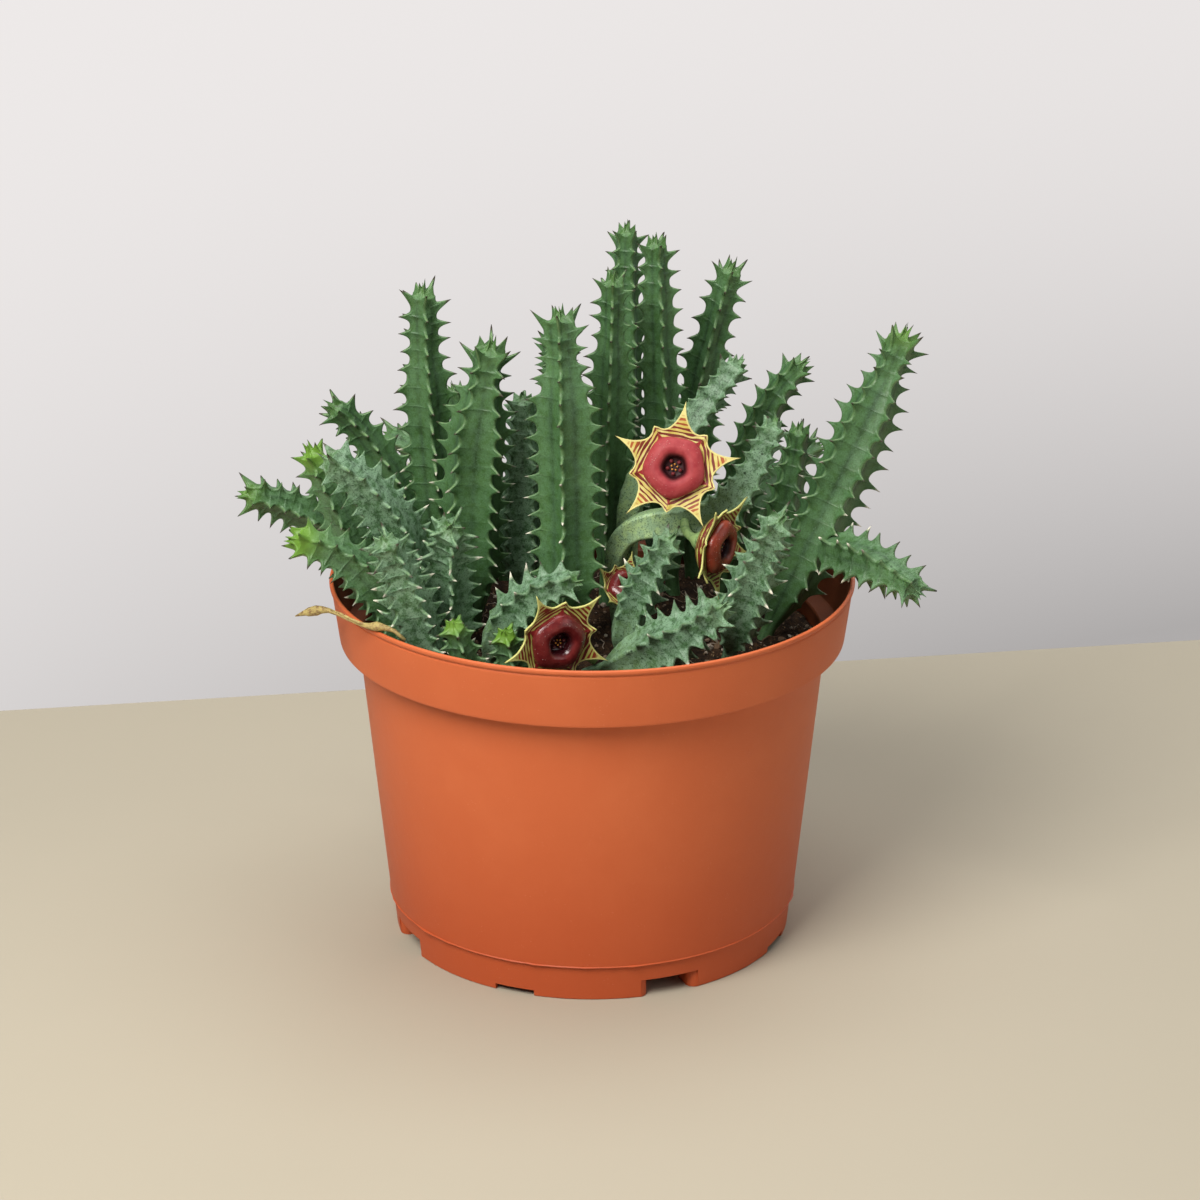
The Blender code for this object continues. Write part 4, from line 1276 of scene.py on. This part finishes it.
@dataclass
class Bloom:
    """Builds a flower: the striped star with its bell, the raised ring, and the stalk."""

    flower: Flower
    petals: dict[PetalTone, bpy.types.Material]
    green: bpy.types.Material
    lobes: int = 5
    small_lobe: float = 13.0
    edge_radius: float = 10.3
    base_width: float = 5.3
    tail: float = 3.4
    tail_width: float = 0.055
    tail_droop: float = 0.9
    ring_reach: float = 9.6
    bell_depth: float = 5.0
    thick: float = 0.55
    stalk_radius: float = 1.3

    def place(self) -> Matrix:
        """The flower's own frame, whose +Z is the way that it faces and +Y its top."""
        z = Vector(self.flower.facing).normalized()
        x = Vector((0, 0, 1)).cross(z).normalized()
        turn = Matrix((x, z.cross(x), z)).transposed().to_4x4()
        spin = Matrix.Rotation(math.radians(-self.flower.spin), 4, "Z")
        return Matrix.Translation(self.flower.centre) @ turn @ spin @ Matrix.Scale(self.flower.size, 4)

    def settle(self, obj: bpy.types.Object) -> bpy.types.Object:
        """Moves a mesh from the flower's own frame to its place."""
        obj.data.transform(Matrix.Scale(MM, 4) @ self.place() @ Matrix.Scale(1 / MM, 4))
        return obj

    def star(self) -> bpy.types.Object:
        """The five long lobes and the five short ones, as one thin curved sheet."""
        columns, rows = 400, 19
        degrees = np.linspace(0, 360, columns + 1)
        sector = 360 / self.lobes
        aside = np.mod(degrees - 90 + sector / 2, sector) - sector / 2
        off = np.abs(aside) / (sector / 2)
        base, tail = self.base_width * (1 - off) ** 2.8, self.tail * np.exp(-off / self.tail_width)
        edge = self.edge_radius + base + tail + (self.small_lobe - self.edge_radius) * off**3.4
        share = np.linspace(0, 1, rows)[:, None]
        radius = 7.4 + (edge[None, :] - 7.4) * share
        past = np.maximum(0, radius - self.ring_reach)
        bend = math.radians(self.flower.cupped)
        lift = np.where(past > 0, past * math.sin(bend), -0.05 * (self.ring_reach - radius))
        lift = lift - self.tail_droop * smooth_step(13, 19, radius) * (1 - off[None, :]) ** 2
        fold = np.exp(-((1 - off[None, :]) / 0.10) ** 2) - 0.4 * np.exp(-((1 - off[None, :]) / 0.4) ** 2)
        lift = lift + 0.5 * fold * smooth_step(9, 12, radius)
        flat = np.minimum(radius, self.ring_reach) + past * math.cos(bend)
        angle = np.radians(degrees)[None, :]
        points = np.stack([flat * np.cos(angle), flat * np.sin(angle), lift + 0 * angle], 2)
        slope = np.gradient(edge, angle[0]) / edge
        across = np.radians(aside)[None, :]
        number = np.floor(np.mod(degrees - 90 + sector / 2, 360) / sector)[None, :]
        near_small = 1 - np.abs(radius * np.radians(sector / 2 * (1 - off[None, :]))) / 0.9 - (radius - 8.6) / 2.3
        marks = {
            "reach": radius * np.cos(across),
            "along": radius * np.sin(across) + 40 * number,
            "edge": (edge[None, :] - radius) / np.sqrt(1 + slope[None, :] ** 2),
            "corner": np.clip(near_small, 0, 1),
        }
        obj = wrapped(self.flower.name + "_star", points, marks)
        modify(obj, "SOLIDIFY", thickness=self.thick * MM, offset=-1.0)
        return obj

    def bell(self) -> bpy.types.Object:
        """The shallow bell behind the star."""
        sections = ((9.9, -0.5), (9.6, -1.3), (8.4, -2.8), (6.6, -4.1), (4.4, -4.8), (2.0, -5.0))
        obj = turned(self.flower.name + "_bell", sections, 48)
        places = np.array([vertex.co for vertex in obj.data.vertices]) / MM
        reach = np.hypot(places[:, 0], places[:, 1])
        turn = np.arctan2(places[:, 1], places[:, 0])
        for key, value in (("reach", reach + 1.5), ("along", reach * turn), ("edge", 2.0), ("corner", 0.0)):
            layer = obj.data.attributes.new(key, "FLOAT", "POINT")
            layer.data.foreach_set("value", np.broadcast_to(value, len(places)).astype(np.float32))
        weld(obj)
        return obj

    def ring(self) -> bpy.types.Object:
        """The raised ring, its pit, and the small crown of beads in the pit."""
        profile = np.array(
            (
                (0.0, 0.3), (7.0, 0.3), (8.1, 0.3), (8.55, 0.8), (8.65, 1.5), (8.4, 2.4), (7.7, 3.1), (6.7, 3.7),
                (5.6, 4.0), (4.6, 3.9), (3.8, 3.4), (3.2, 2.6), (2.9, 1.7), (2.75, 1.0), (2.0, 0.7), (0.0, 0.7),
            )
        )
        steps = np.linspace(0, len(profile) - 1, 61)
        index = np.arange(len(profile))
        radius, height = np.interp(steps, index, profile[:, 0]), np.interp(steps, index, profile[:, 1])
        radius[1:-1] = (radius[:-2] + radius[1:-1] * 2 + radius[2:]) / 4
        height[1:-1] = (height[:-2] + height[1:-1] * 2 + height[2:]) / 4
        turns = np.linspace(0, 2 * math.pi, 121)
        five = 1 + 0.034 * np.cos(self.lobes * (turns - math.pi / 2) + math.pi)
        points = np.stack(
            [
                radius[:, None] * five * np.cos(turns),
                radius[:, None] * five * np.sin(turns),
                height[:, None] * (1 + 0.03 * np.sin(3 * turns + 1))[None, :],
            ],
            2,
        )
        inward = np.where(steps > 8, 1 - np.clip((radius - 2.4) / 6.1, 0, 1), 0.0)
        body = wrapped(
            self.flower.name + "_body", points, {"inward": inward[:, None], "gold": np.zeros((1, 1))}
        )
        beads = [body]
        for i in range(5):
            for name, reach, high, size, gold in (("point", 0.85, 1.3, 0.27, 1.0), ("bead", 1.9, 1.1, 0.6, 0.0)):
                put_down()
                angle = math.radians(90 + 72 * i + (36 if name == "bead" else 0))
                bpy.ops.mesh.primitive_uv_sphere_add(segments=12, ring_count=8, radius=size * MM)
                bead = added(f"{name}_{i}")
                bead.data.transform(
                    Matrix.Translation((reach * math.cos(angle) * MM, reach * math.sin(angle) * MM, high * MM))
                    @ Matrix.Diagonal((1, 1, 1.3, 1))
                )
                for key, value in (("inward", 0.80), ("gold", gold)):
                    layer = bead.data.attributes.new(key, "FLOAT", "POINT")
                    layer.data.foreach_set("value", np.full(len(bead.data.vertices), value, np.float32))
                beads.append(bead)
        obj = join(self.flower.name + "_ring", beads)
        take_up(obj)
        bpy.ops.object.shade_smooth()
        return obj

    def stalk(self) -> bpy.types.Object:
        """The stalk from its stem to the bell, with five narrow sepals."""
        place = self.place()
        facing = Vector(self.flower.facing).normalized()
        cup = place @ Vector((0, 0, -self.bell_depth + 0.3))
        start = Vector(self.flower.leaves_at)
        bend = cup - facing * (cup - start).length * 0.55
        path, radii = [], []
        for share in np.linspace(0, 1, 15):
            path.append(tuple(start * (1 - share) ** 2 + bend * 2 * share * (1 - share) + cup * share * share))
            radii.append(self.stalk_radius * (1 + 1.6 * float(smooth_step(0.72, 1.0, share))))
        parts = [tube(self.flower.name + "_stem", path, radii, 14)]
        for i in range(5):
            angle = math.radians(54 + 72 * i)
            out = Vector((math.cos(angle), math.sin(angle), 0))
            spine = [out * (2.6 + 1.1 * k) + Vector((0, 0, -5.4 + 0.55 * k)) for k in range(5)]
            width = (0.9, 0.95, 0.7, 0.4, 0.1)
            parts.append(tube(f"sepal_{i}", [tuple(place @ point) for point in spine], width, 8))
        return join(self.flower.name + "_stalk", parts)

    def build(self) -> list[bpy.types.Object]:
        """Makes the flower and dresses its pieces."""
        name = self.flower.name
        corolla = self.settle(join(name + "_corolla_piece", [self.star(), self.bell()]))
        ring = self.settle(self.ring())
        ring.name = ring.data.name = name + "_ring_piece"
        stalk = self.stalk()
        return [
            dress(corolla, self.petals[self.flower.ground], "petal", name + "_corolla"),
            dress(ring, self.flower.tone.value.made(), "flower_ring", name + "_ring"),
            dress(stalk, self.green, "green_stem", self.flower.host),
        ]


@dataclass
class DryBud:
    """The withered bud, whose stalk lies over the rim."""

    path: tuple[Point, ...] = (
        (-52, -50, 107), (-55, -49, 109.6), (-58, -47, 109.8), (-60, -46, 109.7), (-62, -45, 109.3),
        (-65, -43, 109.3), (-68, -41, 109.8), (-71, -38, 110.2), (-74, -35, 110.2), (-76, -33.5, 109.8),
        (-78, -32, 109.1), (-80, -30.7, 108.2), (-81, -30, 107.7), (-84, -29, 106.2),
    )
    radii: tuple[float, ...] = (0.6, 0.6, 0.9, 1.4, 0.9, 0.55, 0.5, 0.55, 0.7, 1.1, 1.5, 1.4, 1.0, 0.12)

    def build(self) -> list[bpy.types.Object]:
        """Makes the bud and its stalk, and dresses them."""
        main = tube("bud_stalk", self.path, self.radii, 12)
        strand = [(x + 0.6, y - 0.9, z + 0.5) for x, y, z in self.path[3:9]]
        thin = tube("bud_strand", strand, [0.3, 0.45, 0.4, 0.35, 0.4, 0.2], 8)
        obj = join("withered_bud", [main, thin])
        for vertex in obj.data.vertices:
            x, y, z = (value / MM for value in vertex.co)
            shift = ripple(x, y, z, 2.2, 2) * 0.35
            vertex.co += Vector((shift, shift, -shift)) * MM
        finish = Stalk("dry_stalk", (0.46, 0.36, 0.13), (0.20, 0.11, 0.05))
        return [dress(obj, finish.made(), "dry_stalk", "dry_bud")]


# The studio


@dataclass
class Studio:
    """The plain stage, the camera and the soft lights."""

    camera_place: Point = (0.0, -1084.0, 515.0)
    pitch: float = 20.95
    lens: float = 120.0
    shift: float = 0.0065
    edge_left: tuple[float, float] = (-199.0, 157.0)
    edge_right: tuple[float, float] = (213.0, 222.0)
    wall: Colour = (0.85, 0.818, 0.810)
    wall_bright_above: float = -0.2

    def table(self) -> None:
        """The table top, whose back edge crosses behind the pot."""
        put_down()
        bpy.ops.mesh.primitive_plane_add(size=1)
        obj = added("table")
        (x0, y0), (x1, y1) = self.edge_left, self.edge_right
        turn = math.atan2(y1 - y0, x1 - x0)
        width, depth = 6000.0, 3000.0
        middle = Vector(((x0 + x1) / 2, (y0 + y1) / 2, 0)) * MM
        place = Matrix.Translation(middle) @ Matrix.Rotation(turn, 4, "Z")
        place = place @ Matrix.Translation((0, -depth / 2 * MM, 0)) @ Matrix.Diagonal((width * MM, depth * MM, 1, 1))
        obj.data.transform(place)
        obj.data.materials.append(TableTop().made())

    def backdrop(self) -> None:
        """The pale surroundings: bright to look at, and a softer fill on the object."""
        world = bpy.data.worlds.new("surroundings")
        bpy.context.scene.world = world
        world.use_nodes = True
        tree = world.node_tree
        nodes, links = tree.nodes, tree.links
        shown, fill = nodes["Background"], nodes.new("ShaderNodeBackground")
        way = nodes.new("ShaderNodeTexCoord")
        split = nodes.new("ShaderNodeSeparateXYZ")
        links.new(way.outputs["Generated"], split.inputs[0])
        shown.inputs["Color"].default_value = (*self.wall, 1)

        def worked(operation: str, *values: object) -> bpy.types.NodeSocket:
            """Adds a sum on numbers or sockets."""
            made = nodes.new("ShaderNodeMath")
            made.operation = operation
            for slot, value in zip(made.inputs, values):
                if isinstance(value, bpy.types.NodeSocket):
                    links.new(value, slot)
                else:
                    slot.default_value = value
            return made.outputs[0]

        down = worked("MAXIMUM", worked("SUBTRACT", self.wall_bright_above, split.outputs["Z"]), 0.0)
        steep = worked("MAXIMUM", worked("MULTIPLY_ADD", split.outputs["X"], 39.0, 12.3), 4.0)
        drop = worked("MULTIPLY", worked("MULTIPLY", down, down), steep)
        aside = worked("MULTIPLY_ADD", split.outputs["X"], -0.15, 0.98)
        links.new(worked("MAXIMUM", worked("SUBTRACT", aside, drop), 0.5), shown.inputs["Strength"])
        fill.inputs["Color"].default_value = (0.95, 0.96, 1.0, 1)
        fill.inputs["Strength"].default_value = 0.20
        ray = nodes.new("ShaderNodeLightPath")
        both = nodes.new("ShaderNodeMixShader")
        links.new(ray.outputs["Is Camera Ray"], both.inputs[0])
        links.new(fill.outputs[0], both.inputs[1])
        links.new(shown.outputs[0], both.inputs[2])
        links.new(both.outputs[0], nodes["World Output"].inputs["Surface"])

    def lamp(self, name: str, place: Point, size: float, watts: float, colour: Colour, aim: Point) -> None:
        """Adds a soft square lamp.

        Args:
            name: The lamp's name.
            place: Where it hangs.
            size: The length of its side.
            watts: Its power.
            colour: Its colour.
            aim: The point that it faces.
        """
        data = bpy.data.lights.new(name, "AREA")
        data.energy, data.size, data.color = watts, size * MM, colour
        obj = bpy.data.objects.new(name, data)
        bpy.context.scene.collection.objects.link(obj)
        obj.location = Vector(place) * MM
        obj.rotation_euler = (Vector(aim) - Vector(place)).to_track_quat("-Z", "Y").to_euler()

    def camera(self) -> None:
        """The camera at the photo's place."""
        data = bpy.data.cameras.new("camera")
        data.lens, data.sensor_width, data.shift_x = self.lens, 36.0, self.shift
        data.clip_start, data.clip_end = 0.01, 20.0
        obj = bpy.data.objects.new("camera", data)
        bpy.context.scene.collection.objects.link(obj)
        obj.location = Vector(self.camera_place) * MM
        obj.rotation_euler = (math.radians(90 - self.pitch), 0, 0)
        bpy.context.scene.camera = obj

    def build(self) -> None:
        """Sets the stage."""
        self.table()
        self.backdrop()
        self.lamp("key", (-415, -625, 860), 560, 14.8, (1.0, 0.97, 0.93), (0, 0, 110))
        self.lamp("right", (1200, -500, 450), 1000, 3.2, (1.0, 0.98, 0.95), (0, 0, 90))
        self.lamp("top", (100, 200, 1300), 1000, 9, (1.0, 1.0, 1.0), (0, 0, 100))
        self.lamp("back", (450, 1000, 480), 900, 2.3, (1.0, 0.98, 0.95), (0, 0, 100))
        self.camera()
        bpy.context.scene.view_settings.view_transform = "Standard"


def main() -> None:
    """Builds the potted plant piece by piece."""
    logging.basicConfig(level=logging.INFO, format="%(message)s")
    pot = NurseryPot()
    bed = SoilBed(pot)
    pot.build()
    bed.build()
    Clump(bed).build()
    petals = {tone: tone.value.made() for tone in PetalTone}
    green = Stalk("flower_stalk", (0.30, 0.44, 0.16), (0.16, 0.27, 0.10)).made()
    for flower in FLOWERS:
        Bloom(flower, petals, green).build()
    DryBud().build()
    Studio().build()
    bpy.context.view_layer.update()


if __name__ == "__main__":
    main()
